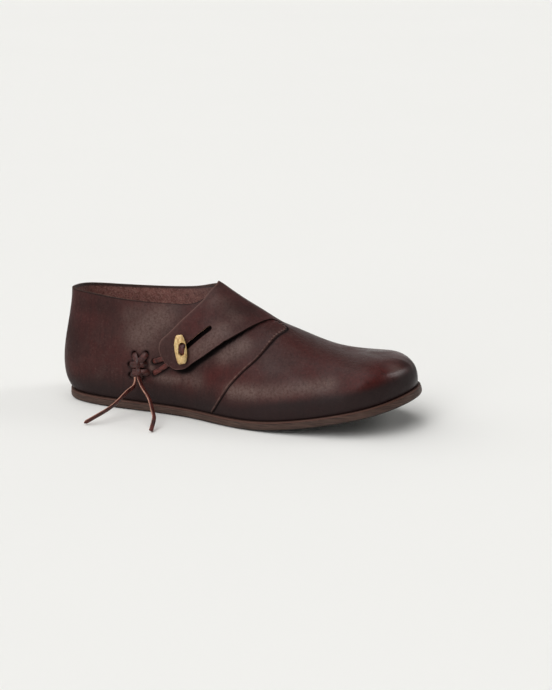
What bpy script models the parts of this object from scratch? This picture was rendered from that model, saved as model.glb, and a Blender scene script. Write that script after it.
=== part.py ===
import bpy
import bmesh
import numpy as np
from mathutils import Matrix, Vector

# All sizes below are in millimetres: x from heel to toe, y from outer to inner side, z up
MM = 0.001

# Sole
SOLE_THICKNESS = 7.0
SOLE_MARGIN = 2.0
SOLE_EDGE_ROUND = 1.2
TOE_REACH = 286.0
TOE_SPRING = 24.5
SPRING_START = 158.0
SPRING_CURVE = 1.7

# Upper and insole
WALL = 2.2
SEAT_GAP = 0.3
INSOLE_THICKNESS = 2.0
INSOLE_INSET = WALL + 1.0

# Strap, seam and thong
STRAP_THICKNESS = 2.0
STRAP_THIN_SHARE = 0.25
SLIT_LENGTH = 34.0
SLIT_WIDTH = 3.2
SEAM_WIDTH = 2.6
SEAM_HEIGHT = 0.9
THONG_RADIUS = 1.2
KNOT_RADIUS = 1.5
TOGGLE_HEIGHT = 8.2
TOGGLE_SLOT = (3.6, 9.4)

# Mesh steps
STEPS_PER_STATION = 5
STEPS_UP = 10
STEPS_ACROSS_SOLE = 4
STEPS_ACROSS_STRAP = 8
STEPS_PER_STRAP_ROW = 2

# The middle of the standing shoe, which becomes the origin
MIDDLE = (143.7, -2.2)

OUTER = -1
INNER = 1

# Feather line, where the upper meets the sole: outer x, y, inner x, y
FEATHER = (
    ("heel_back",     5.0,   0.0,   5.0,  0.0),
    ("heel_corner",  13.0, -22.0,  13.0, 22.0),
    ("heel_side",    42.0, -32.0,  42.0, 31.0),
    ("ankle",        80.0, -34.0,  80.0, 28.0),
    ("waist",       110.0, -36.5, 110.0, 25.0),
    ("arch",        132.0, -42.0, 132.0, 27.0),
    ("throat",      152.0, -47.5, 153.0, 32.0),
    ("instep",      180.0, -51.0, 181.0, 41.0),
    ("ball",        207.0, -49.0, 208.0, 46.0),
    ("vamp",        232.0, -45.0, 234.0, 46.0),
    ("toe_joint",   256.0, -37.5, 257.0, 41.0),
    ("toe_side",    273.0, -22.5, 275.0, 27.0),
    ("toe_tip",     282.0,   2.0, 282.0,  2.0),
)

# Collar: outer x, y, z, inner x, y, z, share of the outer ray that the outer rim keeps
COLLAR = (
    ("heel_back",     5.0,   0.0, 86.5,   5.0,  0.0, 86.5, 1.0),
    ("heel_corner",  10.0, -16.0, 87.5,  10.0, 16.0, 85.0, 1.0),
    ("heel_side",    32.0, -24.0, 87.0,  32.0, 24.0, 84.0, 1.0),
    ("ankle",        64.0, -27.0, 86.0,  64.0, 27.0, 84.5, 0.99),
    ("waist",        92.0, -23.0, 87.5,  92.0, 23.0, 87.5, 0.95),
    ("arch",        112.0, -13.0, 93.0, 112.0, 13.0, 93.0, 0.875),
    ("throat",      126.0,   0.0, 97.0, 126.0,  0.0, 97.0, 1.0),
)

# Ridge of the vamp: x, y, z
RIDGE = (
    ("throat",    126.0, 0.0, 97.0),
    ("instep",    150.0, 0.0, 82.6),
    ("ball",      178.0, 0.0, 70.3),
    ("vamp",      204.0, 1.0, 59.6),
    ("toe_dip",   226.0, 2.0, 54.0),
    ("toe_top",   241.0, 3.0, 53.2),
    ("toe_front", 253.5, 3.0, 52.8),
)

# Fullness of each section: lift of the side, its swell outward, pull over the top, drop under the rim
FULLNESS = (
    ("heel_back",   21.0, 12.0, 12.0, 0.10, 26.0),
    ("heel_corner", 21.5, 16.2, 16.2, 0.10, 26.0),
    ("heel_side",   30.0,  5.0,  5.0, 0.20, 24.0),
    ("ankle",       28.0,  2.0,  3.0, 0.30, 20.0),
    ("waist",       30.0,  2.0,  3.0, 0.40, 16.0),
    ("arch",        32.0,  2.0,  3.0, 0.48, 13.0),
    ("throat",      34.0,  2.0,  3.0, 0.50, 12.0),
    ("instep",      30.0,  2.0,  3.0, 0.55,  8.0),
    ("ball",        25.0,  3.0,  3.0, 0.66,  3.0),
    ("vamp",        21.0,  3.5,  3.5, 0.72,  0.0),
    ("toe_joint",   26.0,  6.5,  6.5, 0.88,  0.0),
    ("toe_side",    22.0,  1.2,  1.2, 0.775, 0.0),
    ("toe_tip",     20.0,  0.4,  0.4, 0.77,  0.0),
)

# Strap from its tip to the instep: lower edge station, share, back edge station, share, lift, thickness
STRAP = (
    ("tip",        3.67, 0.376, 3.67, 0.376, 3.1, 1.0),
    ("tip_round",  3.92, 0.322, 3.57, 0.460, 3.1, 1.0),
    ("tip_side",   4.11, 0.313, 3.58, 0.523, 3.1, 1.0),
    ("tip_full",   4.34, 0.325, 3.66, 0.578, 3.1, 1.0),
    ("buttoned",   4.63, 0.350, 3.81, 0.616, 2.9, 1.0),
    ("lower",      4.96, 0.376, 4.02, 0.665, 2.5, 1.0),
    ("lower_mid",  5.35, 0.405, 4.31, 0.722, 1.8, 1.0),
    ("middle",     5.75, 0.440, 4.62, 0.769, 1.3, 1.0),
    ("upper_mid",  6.12, 0.490, 4.94, 0.815, 0.8, 1.0),
    ("upper",      6.41, 0.562, 5.24, 0.866, 0.4, 1.0),
    ("shoulder",   6.69, 0.645, 5.55, 0.930, 0.3, 1.0),
    ("peak",       6.97, 0.735, 6.00, 1.000, 0.3, 1.0),
    ("over_top",   7.24, 0.826, 6.00, 1.060, 0.3, 0.8),
    ("root_rear",  7.53, 0.915, 6.00, 1.120, 0.3, 0.5),
    ("root_mid",   7.75, 0.960, 6.00, 1.180, 0.3, 0.25),
    ("root",       8.05, 0.965, 6.00, 1.240, 0.3, 0.0),
)

# Seam line on the outer side: station, share
SEAM = (
    ("instep", 7.95, 0.930),
    ("vamp",   7.61, 0.755),
    ("upper",  7.11, 0.535),
    ("side",   6.66, 0.393),
    ("lower",  6.25, 0.280),
    ("foot",   5.80, 0.160),
    ("sole",   5.38, 0.045),
)

# Places on the outer side: station, share
SLIT_START = (4.17, 0.460)
SLIT_END = (5.40, 0.610)
TOGGLE_AT = (4.31, 0.486)
TOGGLE_TOP = (4.295, 0.600)
TOGGLE_FOOT = (4.335, 0.374)
LOOP_HOLES = ((3.31, 0.394), (3.28, 0.288))
LOOP_HEIGHT = 1.6

# Toggle sections: place along its length, half width, half depth
TOGGLE = (
    ("foot_end", -11.0, 3.3, 1.4),
    ("foot",      -9.1, 4.4, 2.2),
    ("belly",     -3.4, 5.1, 2.7),
    ("waist",      2.9, 5.1, 2.7),
    ("head",       8.1, 4.1, 2.3),
    ("head_end",  11.0, 2.7, 1.3),
)

# Knot bars: start station, share, end station, share, height
KNOT = (
    ("upper_rear",  2.84, 0.457, 2.90, 0.350, 2.0),
    ("upper_front", 3.15, 0.478, 2.90, 0.350, 2.0),
    ("middle",      2.68, 0.340, 3.03, 0.325, 2.0),
    ("lower",       2.64, 0.237, 2.99, 0.265, 2.0),
    ("binding",     2.91, 0.375, 2.87, 0.262, 3.4),
)

# Free ends of the thong, from the knot to the floor: x, y, z
THONG_REAR = (
    (71.2, -38.1, 27.6),
    (71.9, -42.0, 21.9),
    (68.8, -49.0, 18.6),
    (64.2, -60.5, 12.2),
    (57.0, -73.0,  6.9),
    (48.0, -82.0,  1.5),
)
THONG_FRONT = (
    (74.2, -37.9, 27.8),
    (82.0, -48.0, 23.0),
    (91.0, -57.0, 18.2),
    (97.5, -66.0, 11.8),
    (101.0, -71.5, 8.2),
    (102.5, -81.0, 1.5),
)

LAST_STATION = len(FEATHER) - 1
THROAT = len(COLLAR) - 1


# Smooth curve through rows that stand at 0, 1, 2 and so on
def spline(rows, at, closed=False):
    rows = np.asarray(rows, float)
    count = len(rows)
    system = np.zeros((count, count))
    right = np.zeros_like(rows)
    for i in range(count):
        before, after = (i - 1) % count, (i + 1) % count
        if not closed and i in (0, count - 1):
            system[i, i] = 1.0
            continue
        system[i, before] += 1.0
        system[i, i] += 4.0
        system[i, after] += 1.0
        right[i] = 6.0 * (rows[before] - 2.0 * rows[i] + rows[after])
    bend = np.linalg.solve(system, right)
    at = np.asarray(at, float)
    first = np.floor(at).astype(int)
    if not closed:
        first = np.clip(first, 0, count - 2)
    part = (at - first)[..., None]
    rest = 1.0 - part
    a, b = first % count, (first + 1) % count
    curve = rows[a] * rest + rows[b] * part
    return curve + ((rest ** 3 - rest) * bend[a] + (part ** 3 - part) * bend[b]) / 6.0


# Outer side from heel to front, then the inner side back again
def loop(outer, inner):
    return np.array(list(outer) + list(inner[-2:0:-1]), float)


FEATHER_LOOP = loop([r[1:3] for r in FEATHER], [r[3:5] for r in FEATHER])
COLLAR_LOOP = loop([r[1:4] for r in COLLAR], [r[4:7] for r in COLLAR])
RIM_LOOP = loop([r[7:8] for r in COLLAR], [(1.0,)] * len(COLLAR))
FULL_LOOP = loop([(r[1], r[2], r[4], r[5]) for r in FULLNESS], [(r[1], r[3], r[4], r[5]) for r in FULLNESS])
RIDGE_LINE = np.array([r[1:4] for r in RIDGE])


def along(t, side, last):
    t = np.asarray(t, float)
    return t if side == OUTER else 2.0 * last - t


# Feather line moved outward by a distance
def feather(t, side, outward=0.0):
    at = along(t, side, LAST_STATION)
    step = 0.001
    run = spline(FEATHER_LOOP, at + step, True) - spline(FEATHER_LOOP, at - step, True)
    run /= np.linalg.norm(run, axis=-1, keepdims=True)
    away = np.stack([run[..., 1], -run[..., 0]], -1)
    return spline(FEATHER_LOOP, at, True) + away * outward, away


def spring(x):
    run = np.clip((np.asarray(x, float) - SPRING_START) / (TOE_REACH - SPRING_START), 0.0, None)
    return TOE_SPRING * run ** SPRING_CURVE


def ridge(t):
    at = np.clip(np.asarray(t, float) - THROAT, 0.0, len(RIDGE) - 1)
    step = 0.001
    low = np.clip(at - step, 0.0, len(RIDGE) - 1)
    high = np.clip(at + step, 0.0, len(RIDGE) - 1)
    run = spline(RIDGE_LINE, high) - spline(RIDGE_LINE, low)
    return spline(RIDGE_LINE, at), run[..., 2] / run[..., 0]


# Outside of the upper: t is the station, v runs from the sole to the collar or the ridge
def skin(t, v, side):
    t, v = np.broadcast_arrays(np.asarray(t, float), np.asarray(v, float))
    foot, away = feather(t, side)
    full = spline(FULL_LOOP, along(t, side, LAST_STATION), True)
    lift, swell, pull, drop = (full[..., k:k + 1] for k in range(4))
    top, slope = ridge(t)
    collar = spline(COLLAR_LOOP, along(np.minimum(t, THROAT), side, THROAT), True)
    top = np.where((t <= THROAT)[..., None], collar, top)
    start = np.concatenate([foot, (SOLE_THICKNESS + SEAT_GAP + spring(foot[..., 0]))[..., None]], -1)
    lean = start.copy()
    lean[..., :2] += away * swell
    lean[..., 2:] += lift
    reach = foot - top[..., :2]
    ease = np.clip((t - THROAT) / 2.0, 0.0, 1.0)
    ease = ease * ease * (3.0 - 2.0 * ease)
    turn = top.copy()
    turn[..., :2] += reach * pull
    turn[..., 2:] += (slope * reach[..., 0] * ease)[..., None] * pull - drop
    v = v[..., None]
    u = 1.0 - v
    return u ** 3 * start + 3.0 * u * u * v * lean + 3.0 * u * v * v * turn + v ** 3 * top


# The same skin over the ridge: shares above 1 come down the inner side
def across(t, w):
    t, w = np.broadcast_arrays(np.asarray(t, float), np.asarray(w, float))
    outer = skin(t, np.minimum(w, 1.0), OUTER)
    inner = skin(t, np.minimum(2.0 - w, 1.0), INNER)
    return np.where((w <= 1.0)[..., None], outer, inner)


# A place above the skin, along its normal
def over(t, w, height):
    t, w, height = np.broadcast_arrays(*(np.asarray(a, float) for a in (t, w, height)))
    step = 0.002
    inside = np.where(w <= 1.0, np.minimum(w, 1.0 - step), np.maximum(w, 1.0 + step))
    run = across(t + step, inside) - across(t - step, inside)
    rise = across(t, inside + 0.9 * step) - across(t, inside - 0.9 * step)
    normal = np.cross(run, rise)
    normal /= np.linalg.norm(normal, axis=-1, keepdims=True)
    return across(t, w) + normal * height[..., None]


def rim(t, side):
    share = spline(RIM_LOOP, along(np.minimum(t, THROAT), side, THROAT), True)[..., 0]
    return np.where(np.asarray(t) < THROAT, share, 1.0)


def to_metres(points):
    points = np.asarray(points, float)
    return (points - np.array([MIDDLE[0], MIDDLE[1], 0.0])) * MM


def material(name, color, roughness):
    made = bpy.data.materials.new(name)
    made.use_nodes = True
    shader = made.node_tree.nodes["Principled BSDF"]
    shader.inputs["Base Color"].default_value = (*color, 1.0)
    shader.inputs["Roughness"].default_value = roughness
    shader.inputs["Metallic"].default_value = 0.0
    return made


def add_object(name, data, finish, group):
    made = bpy.data.objects.new(name, data)
    group.objects.link(made)
    if finish is not None:
        data.materials.append(finish)
    return made


# Open sheet from one or more grids of points
def sheet(name, grids, finish, group):
    mesh = bpy.data.meshes.new(name)
    work = bmesh.new()
    for grid, flip in grids:
        points = to_metres(grid)
        rows = [[work.verts.new(p) for p in row] for row in points]
        for low, high in zip(rows, rows[1:]):
            for k in range(len(low) - 1):
                corners = [low[k], high[k], high[k + 1], low[k + 1]]
                work.faces.new(corners[::-1] if flip else corners)
    bmesh.ops.remove_doubles(work, verts=work.verts, dist=0.00002)
    work.to_mesh(mesh)
    work.free()
    return add_object(name, mesh, finish, group)


def solidify(thing, thickness, offset):
    wall = thing.modifiers.new("wall", "SOLIDIFY")
    wall.thickness = thickness * MM
    wall.offset = offset
    wall.use_even_offset = True
    wall.use_quality_normals = True
    return wall


def boolean(thing, other, operation):
    cut = thing.modifiers.new(operation.lower(), "BOOLEAN")
    cut.solver = "EXACT"
    cut.operation = operation
    cut.object = other


# Round cord through route points
def cord(name, route, radius, finish, group, points=24):
    route = np.asarray(route, float)
    run = np.linspace(0.0, len(route) - 1.0, points)
    places = to_metres(spline(route, run) if len(route) > 2 else route)
    data = bpy.data.curves.new(name, "CURVE")
    data.dimensions = "3D"
    data.bevel_depth = radius * MM
    data.bevel_resolution = 2
    data.use_fill_caps = True
    line = data.splines.new("POLY")
    line.points.add(len(places) - 1)
    for point, place in zip(line.points, places):
        point.co = (*place, 1.0)
    return add_object(name, data, finish, group)


# Mesh copy of a cord, so that bars can be joined
def cord_mesh(name, route, radius, finish, group, points=8):
    made = cord(name + "_line", route, radius, None, group, points)
    view = bpy.context.evaluated_depsgraph_get()
    mesh = bpy.data.meshes.new_from_object(made.evaluated_get(view))
    mesh.name = name
    bpy.data.objects.remove(made)
    mesh.materials.clear()
    return add_object(name, mesh, finish, group)


def hide(thing):
    thing.hide_render = True
    thing.display_type = "WIRE"


# Frame on the strap: x along a direction, z away from the skin
def frame_at(origin, x_axis, z_axis):
    z = Vector(z_axis).normalized()
    x = Vector(x_axis)
    x = (x - z * x.dot(z)).normalized()
    y = z.cross(x)
    turn = Matrix((x, y, z)).transposed().to_4x4()
    return Matrix.Translation(Vector(to_metres(origin))) @ turn


def rounded_bar(name, size, group):
    mesh = bpy.data.meshes.new(name)
    work = bmesh.new()
    bmesh.ops.create_cube(work, size=1.0)
    bmesh.ops.scale(work, verts=work.verts, vec=Vector(size) * MM)
    work.to_mesh(mesh)
    work.free()
    made = add_object(name, mesh, None, group)
    ends = made.modifiers.new("ends", "BEVEL")
    ends.width = 0.45 * min(size[0], size[1]) * MM
    ends.segments = 3
    ends.limit_method = "WEIGHT"
    weights = mesh.attributes.new("bevel_weight_edge", "FLOAT", "EDGE")
    for edge in mesh.edges:
        a, b = (mesh.vertices[k].co for k in edge.vertices)
        weights.data[edge.index].value = 1.0 if abs(a.z - b.z) > 0.5 * size[2] * MM else 0.0
    hide(made)
    return made


def sole_sheet(name, outward, top, finish, group):
    t = np.linspace(0.0, LAST_STATION, LAST_STATION * STEPS_PER_STATION + 1)
    outer, _ = feather(t, OUTER, outward)
    inner, _ = feather(t, INNER, outward)
    part = np.linspace(0.0, 1.0, STEPS_ACROSS_SOLE + 1)[None, :, None]
    flat = outer[:, None] * (1.0 - part) + inner[:, None] * part
    height = top + spring(flat[..., :1])
    return sheet(name, [(np.concatenate([flat, height], -1), False)], finish, group)


def build_outsole(finish, group):
    made = sole_sheet("outsole", SOLE_MARGIN, SOLE_THICKNESS, finish, group)
    solidify(made, SOLE_THICKNESS, -1.0)
    edge = made.modifiers.new("edge", "BEVEL")
    edge.width = SOLE_EDGE_ROUND * MM
    edge.segments = 2
    edge.limit_method = "ANGLE"
    edge.angle_limit = 0.9


def build_insole(finish, group):
    top = SOLE_THICKNESS + SEAT_GAP + INSOLE_THICKNESS
    made = sole_sheet("insole", -INSOLE_INSET, top, finish, group)
    solidify(made, INSOLE_THICKNESS, -1.0)


def build_upper(finish, group):
    t = np.linspace(0.0, LAST_STATION, LAST_STATION * STEPS_PER_STATION + 1)
    v = np.linspace(0.0, 1.0, STEPS_UP + 1)
    grids = []
    for side in (OUTER, INNER):
        share = rim(t, side)[:, None] * v[None, :]
        grids.append((skin(t[:, None], share, side), side == INNER))
    made = sheet("upper", grids, finish, group)
    solidify(made, WALL, -1.0)


def build_seam(finish, group):
    line = np.array([r[1:3] for r in SEAM])
    run = np.linspace(0.0, len(SEAM) - 1.0, 31)
    place = spline(line, run)
    ahead = spline(line, run + 0.01) - spline(line, run - 0.01)
    middle = across(place[:, 0], place[:, 1])
    step = across(place[:, 0] + ahead[:, 0], place[:, 1] + ahead[:, 1]) - middle
    away = over(place[:, 0], place[:, 1], 1.0) - middle
    side = np.cross(away, step)
    side /= np.linalg.norm(side, axis=-1, keepdims=True)
    base = over(place[:, 0], place[:, 1], SEAT_GAP)
    half = 0.5 * SEAM_WIDTH
    grid = np.stack([base - side * half, base + away * 0.12, base + side * half], 1)
    made = sheet("side_seam", [(grid, False)], finish, group)
    solidify(made, SEAM_HEIGHT, 1.0)


def build_strap(finish, group, cutters):
    rows = np.array([r[1:7] for r in STRAP])
    run = np.linspace(0.0, len(STRAP) - 1.0, (len(STRAP) - 1) * STEPS_PER_STRAP_ROW + 1)
    row = spline(rows, run)
    part = np.linspace(0.0, 1.0, STEPS_ACROSS_STRAP + 1)[None, :]
    t = row[:, :1] * (1.0 - part) + row[:, 2:3] * part
    w = row[:, 1:2] * (1.0 - part) + row[:, 3:4] * part
    lift = np.maximum(row[:, 4:5], SEAT_GAP) + 0.0 * part
    grid = over(t, w, lift)
    made = sheet("wrap_strap", [(grid, False)], finish, group)
    thick = np.clip(row[:, 5], 0.0, 1.0)
    full = made.vertex_groups.new(name="full_thickness")
    flat = to_metres(grid).reshape(-1, 3)
    weight = np.repeat(thick, STEPS_ACROSS_STRAP + 1)
    for vertex in made.data.vertices:
        near = np.argmin(np.sum((flat - np.array(vertex.co)) ** 2, axis=1))
        full.add([vertex.index], float(weight[near]), "REPLACE")
    wall = solidify(made, STRAP_THICKNESS, 1.0)
    wall.vertex_group = "full_thickness"
    wall.thickness_vertex_group = STRAP_THIN_SHARE
    start = over(*SLIT_START, 3.0)
    end = over(*SLIT_END, 3.0)
    middle = 0.5 * (start + end)
    mid_place = [0.5 * (a + b) for a, b in zip(SLIT_START, SLIT_END)]
    away = over(*mid_place, 1.0) - over(*mid_place, 0.0)
    slit = rounded_bar("slit_cutter", (SLIT_LENGTH, SLIT_WIDTH, 30.0), cutters)
    slit.matrix_world = frame_at(middle, end - start, away)
    boolean(made, slit, "DIFFERENCE")


def toggle_frame():
    centre = over(*TOGGLE_AT, TOGGLE_HEIGHT)
    away = over(*TOGGLE_AT, 1.0) - over(*TOGGLE_AT, 0.0)
    length = over(*TOGGLE_TOP, TOGGLE_HEIGHT) - over(*TOGGLE_FOOT, TOGGLE_HEIGHT)
    return centre, length, away


def build_toggle(finish, group, cutters):
    around = np.linspace(0.0, 2.0 * np.pi, 13)[:-1]
    mesh = bpy.data.meshes.new("toggle")
    work = bmesh.new()
    rings = []
    for _, place, half_width, half_depth in TOGGLE:
        ring = []
        for turn in around:
            side = np.sign(np.cos(turn)) * abs(np.cos(turn)) ** 0.7
            face = np.sign(np.sin(turn)) * abs(np.sin(turn)) ** 0.7
            spot = Vector((place, half_width * side, half_depth * face)) * MM
            ring.append(work.verts.new(spot))
        rings.append(ring)
    for low, high in zip(rings, rings[1:]):
        for k in range(len(low)):
            n = (k + 1) % len(low)
            work.faces.new((low[k], low[n], high[n], high[k]))
    work.faces.new(rings[0][::-1])
    work.faces.new(rings[-1])
    bmesh.ops.recalc_face_normals(work, faces=work.faces)
    work.to_mesh(mesh)
    work.free()
    made = add_object("toggle", mesh, finish, group)
    made.matrix_world = frame_at(*toggle_frame())
    slot = rounded_bar("toggle_slot_cutter", (TOGGLE_SLOT[1], TOGGLE_SLOT[0], 12.0), cutters)
    slot.matrix_world = frame_at(*toggle_frame())
    boolean(made, slot, "DIFFERENCE")


def build_loop(finish, group, cutters):
    part = np.linspace(0.0, 1.0, 5)
    bars = []
    for hole in LOOP_HOLES:
        t = hole[0] * (1.0 - part) + TOGGLE_AT[0] * part
        w = hole[1] * (1.0 - part) + TOGGLE_AT[1] * part
        bars.append(over(t, w, LOOP_HEIGHT))
    centre, length, away = toggle_frame()
    length = length / np.linalg.norm(length)
    head = centre + away * 1.4
    bars.append(np.stack([over(*TOGGLE_AT, LOOP_HEIGHT - 0.2), head]))
    bars.append(np.stack([head - length * 3.0, head + length * 3.0]))
    join_bars("toggle_loop", bars, THONG_RADIUS, finish, group, cutters)


def build_knot(finish, group, cutters):
    part = np.linspace(0.0, 1.0, 3)
    bars = []
    for _, t0, w0, t1, w1, height in KNOT:
        bars.append(over(t0 + (t1 - t0) * part, w0 + (w1 - w0) * part, height))
    join_bars("thong_knot", bars, KNOT_RADIUS, finish, group, cutters)


# Crossing bars joined into one solid
def join_bars(name, bars, radius, finish, group, cutters):
    made = cord_mesh(name, bars[0], radius, finish, group, 5)
    for number, route in enumerate(bars[1:]):
        other = cord_mesh(name + "_bar_" + str(number), route, radius, None, cutters, 5)
        hide(other)
        boolean(made, other, "UNION")


def build():
    for thing in list(bpy.data.objects):
        bpy.data.objects.remove(thing)
    shoe = bpy.data.collections.new("leather_shoe")
    cutters = bpy.data.collections.new("cutters")
    bpy.context.scene.collection.children.link(shoe)
    bpy.context.scene.collection.children.link(cutters)
    leather = material("upper_leather", (0.050, 0.022, 0.020), 0.42)
    sole_leather = material("sole_leather", (0.060, 0.032, 0.024), 0.60)
    lining = material("insole_leather", (0.090, 0.042, 0.032), 0.85)
    horn = material("toggle_horn", (0.560, 0.370, 0.150), 0.45)
    thong = material("thong_leather", (0.090, 0.032, 0.026), 0.55)
    build_outsole(sole_leather, shoe)
    build_insole(lining, shoe)
    build_upper(leather, shoe)
    build_seam(leather, shoe)
    build_strap(leather, shoe, cutters)
    build_toggle(horn, shoe, cutters)
    build_loop(thong, shoe, cutters)
    build_knot(thong, shoe, cutters)
    cord("thong_end_rear", THONG_REAR, THONG_RADIUS, thong, shoe)
    cord("thong_end_front", THONG_FRONT, THONG_RADIUS, thong, shoe)


build()
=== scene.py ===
import math
import bpy
import bmesh
import numpy as np
from mathutils import Matrix, Vector, noise


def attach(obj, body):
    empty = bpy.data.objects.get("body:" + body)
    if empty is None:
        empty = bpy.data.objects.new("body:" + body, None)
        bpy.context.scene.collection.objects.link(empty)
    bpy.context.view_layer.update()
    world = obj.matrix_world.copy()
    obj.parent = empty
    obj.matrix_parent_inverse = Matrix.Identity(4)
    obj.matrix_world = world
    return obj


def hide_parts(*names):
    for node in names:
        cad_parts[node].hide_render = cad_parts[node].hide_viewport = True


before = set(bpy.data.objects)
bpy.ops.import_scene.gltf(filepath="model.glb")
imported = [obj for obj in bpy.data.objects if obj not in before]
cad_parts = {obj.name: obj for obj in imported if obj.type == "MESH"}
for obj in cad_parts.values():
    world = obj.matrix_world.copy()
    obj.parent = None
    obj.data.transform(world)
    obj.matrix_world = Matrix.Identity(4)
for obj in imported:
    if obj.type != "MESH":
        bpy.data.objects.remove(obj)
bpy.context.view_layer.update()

scene = bpy.context.scene
print("frame loaded:", len(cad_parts), "nodes")

# camera, set to the photo's view

cameraSetup = {
    "azimuth": 20.7,
    "elevation": 15.8,
    "distance": 1.5,
    "target": (-0.0007, 0.0022, 0.045),
    "lens": 101.74,
    "shift": (0.0519, 0.0101),  # only the photo's framing
}


def placeCamera(setup):
    turn, rise = math.radians(setup["azimuth"]), math.radians(setup["elevation"])
    back = Vector((math.sin(turn) * math.cos(rise), -math.cos(turn) * math.cos(rise), math.sin(rise)))
    data = bpy.data.cameras.new("shoeCamera")
    data.lens = setup["lens"]
    data.sensor_width = 36.0
    data.shift_x, data.shift_y = setup["shift"]
    data.clip_end = 60.0
    rig = bpy.data.objects.new("shoeCamera", data)
    rig.location = Vector(setup["target"]) + back * setup["distance"]
    rig.rotation_euler = back.to_track_quat("Z", "Y").to_euler()
    scene.collection.objects.link(rig)
    scene.camera = rig


placeCamera(cameraSetup)

# shape of the last, in millimetres from the heel: x to the toe, y to the inner side, z up

shoeShape = {
    "middle": (143.7, -2.2),
    "soleThickness": 7.0,
    "seatGap": 0.3,
    "toeReach": 286.0,
    "toeSpring": 24.5,
    "springStart": 158.0,
    "springCurve": 1.7,
    # outer x, y, inner x, y where the upper meets the sole
    "feather": [
        (5, 0, 5, 0), (13, -22, 13, 22), (42, -32, 42, 31), (80, -34, 80, 28), (110, -36.5, 110, 25),
        (132, -42, 132, 27), (152, -47.5, 153, 32), (180, -51, 181, 41), (207, -49, 208, 46),
        (232, -45, 234, 46), (256, -37.5, 257, 41), (273, -22.5, 275, 27), (282, 2, 282, 2),
    ],
    # outer x, y, z, inner x, y, z, share the outer rim keeps
    "collar": [
        (5, 0, 86.5, 5, 0, 86.5, 1), (10, -16, 87.5, 10, 16, 85, 1), (32, -24, 87, 32, 24, 84, 1),
        (64, -27, 86, 64, 27, 84.5, 0.99), (92, -23, 87.5, 92, 23, 87.5, 0.95),
        (112, -13, 93, 112, 13, 93, 0.875), (126, 0, 97, 126, 0, 97, 1),
    ],
    "ridge": [
        (126, 0, 97), (150, 0, 82.6), (178, 0, 70.3), (204, 1, 59.6), (226, 2, 54), (241, 3, 53.2),
        (253.5, 3, 52.8),
    ],
    # lift of the side, swell outer, swell inner, pull over the top, drop under the rim
    "fullness": [
        (21, 12, 12, 0.10, 26), (21.5, 16.2, 16.2, 0.10, 26), (30, 5, 5, 0.20, 24), (28, 2, 3, 0.30, 20),
        (30, 2, 3, 0.40, 16), (32, 2, 3, 0.48, 13), (34, 2, 3, 0.50, 12), (30, 2, 3, 0.55, 8),
        (25, 3, 3, 0.66, 3), (21, 3.5, 3.5, 0.72, 0), (26, 6.5, 6.5, 0.88, 0), (22, 1.2, 1.2, 0.775, 0),
        (20, 0.4, 0.4, 0.77, 0),
    ],
}
outer, inner = -1, 1
lastStation = len(shoeShape["feather"]) - 1
throat = len(shoeShape["collar"]) - 1


def curveThrough(rows, at, closed=False):
    rows = np.asarray(rows, float)
    count = len(rows)
    system, right = np.zeros((count, count)), np.zeros_like(rows)
    for i in range(count):
        before, after = (i - 1) % count, (i + 1) % count
        if not closed and i in (0, count - 1):
            system[i, i] = 1.0
            continue
        system[i, before] += 1.0
        system[i, i] += 4.0
        system[i, after] += 1.0
        right[i] = 6.0 * (rows[before] - 2.0 * rows[i] + rows[after])
    bend = np.linalg.solve(system, right)
    at = np.asarray(at, float)
    first = np.floor(at).astype(int)
    if not closed:
        first = np.clip(first, 0, count - 2)
    part = (at - first)[..., None]
    rest = 1.0 - part
    a, b = first % count, (first + 1) % count
    curved = (rest ** 3 - rest) * bend[a] + (part ** 3 - part) * bend[b]
    return rows[a] * rest + rows[b] * part + curved / 6.0


def finerLine(line, count):
    return curveThrough(line, np.linspace(0.0, len(line) - 1.0, count))


def unit(vectors):
    return vectors / np.linalg.norm(vectors, axis=-1, keepdims=True)


# length run along a line up to each of its points
def lengthAlong(line):
    return np.concatenate([[0.0], np.cumsum(np.linalg.norm(np.diff(line, axis=0), axis=1))])


def roundTrip(outerRows, innerRows):
    return np.array(list(outerRows) + list(innerRows[-2:0:-1]), float)


featherLoop = roundTrip([r[0:2] for r in shoeShape["feather"]], [r[2:4] for r in shoeShape["feather"]])
collarLoop = roundTrip([r[0:3] for r in shoeShape["collar"]], [r[3:6] for r in shoeShape["collar"]])
rimLoop = roundTrip([r[6:7] for r in shoeShape["collar"]], [(1.0,)] * (throat + 1))
fullLoop = roundTrip([(r[0], r[1], r[3], r[4]) for r in shoeShape["fullness"]],
                     [(r[0], r[2], r[3], r[4]) for r in shoeShape["fullness"]])
ridgeLine = np.array(shoeShape["ridge"], float)


def loopPlace(t, side, last):
    t = np.asarray(t, float)
    return t if side == outer else 2.0 * last - t


def featherAt(t, side, outward=0.0):
    at = loopPlace(t, side, lastStation)
    run = unit(curveThrough(featherLoop, at + 0.001, True) - curveThrough(featherLoop, at - 0.001, True))
    away = np.stack([run[..., 1], -run[..., 0]], -1)
    return curveThrough(featherLoop, at, True) + away * outward, away


def springAt(x):
    s = shoeShape
    run = np.clip((np.asarray(x, float) - s["springStart"]) / (s["toeReach"] - s["springStart"]), 0.0, None)
    return s["toeSpring"] * run ** s["springCurve"]


def ridgeAt(t):
    last = len(ridgeLine) - 1
    at = np.clip(np.asarray(t, float) - throat, 0.0, last)
    run = (curveThrough(ridgeLine, np.clip(at + 0.001, 0, last))
           - curveThrough(ridgeLine, np.clip(at - 0.001, 0, last)))
    return curveThrough(ridgeLine, at), run[..., 2] / run[..., 0]


def smoothStep(value, low, high):
    part = np.clip((np.asarray(value, float) - low) / (high - low), 0.0, 1.0)
    return part * part * (3.0 - 2.0 * part)


# 1 at the middle, falling off to both sides
def bell(value, middle, width, power=2):
    return np.exp(-((value - middle) / width) ** power)


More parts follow.
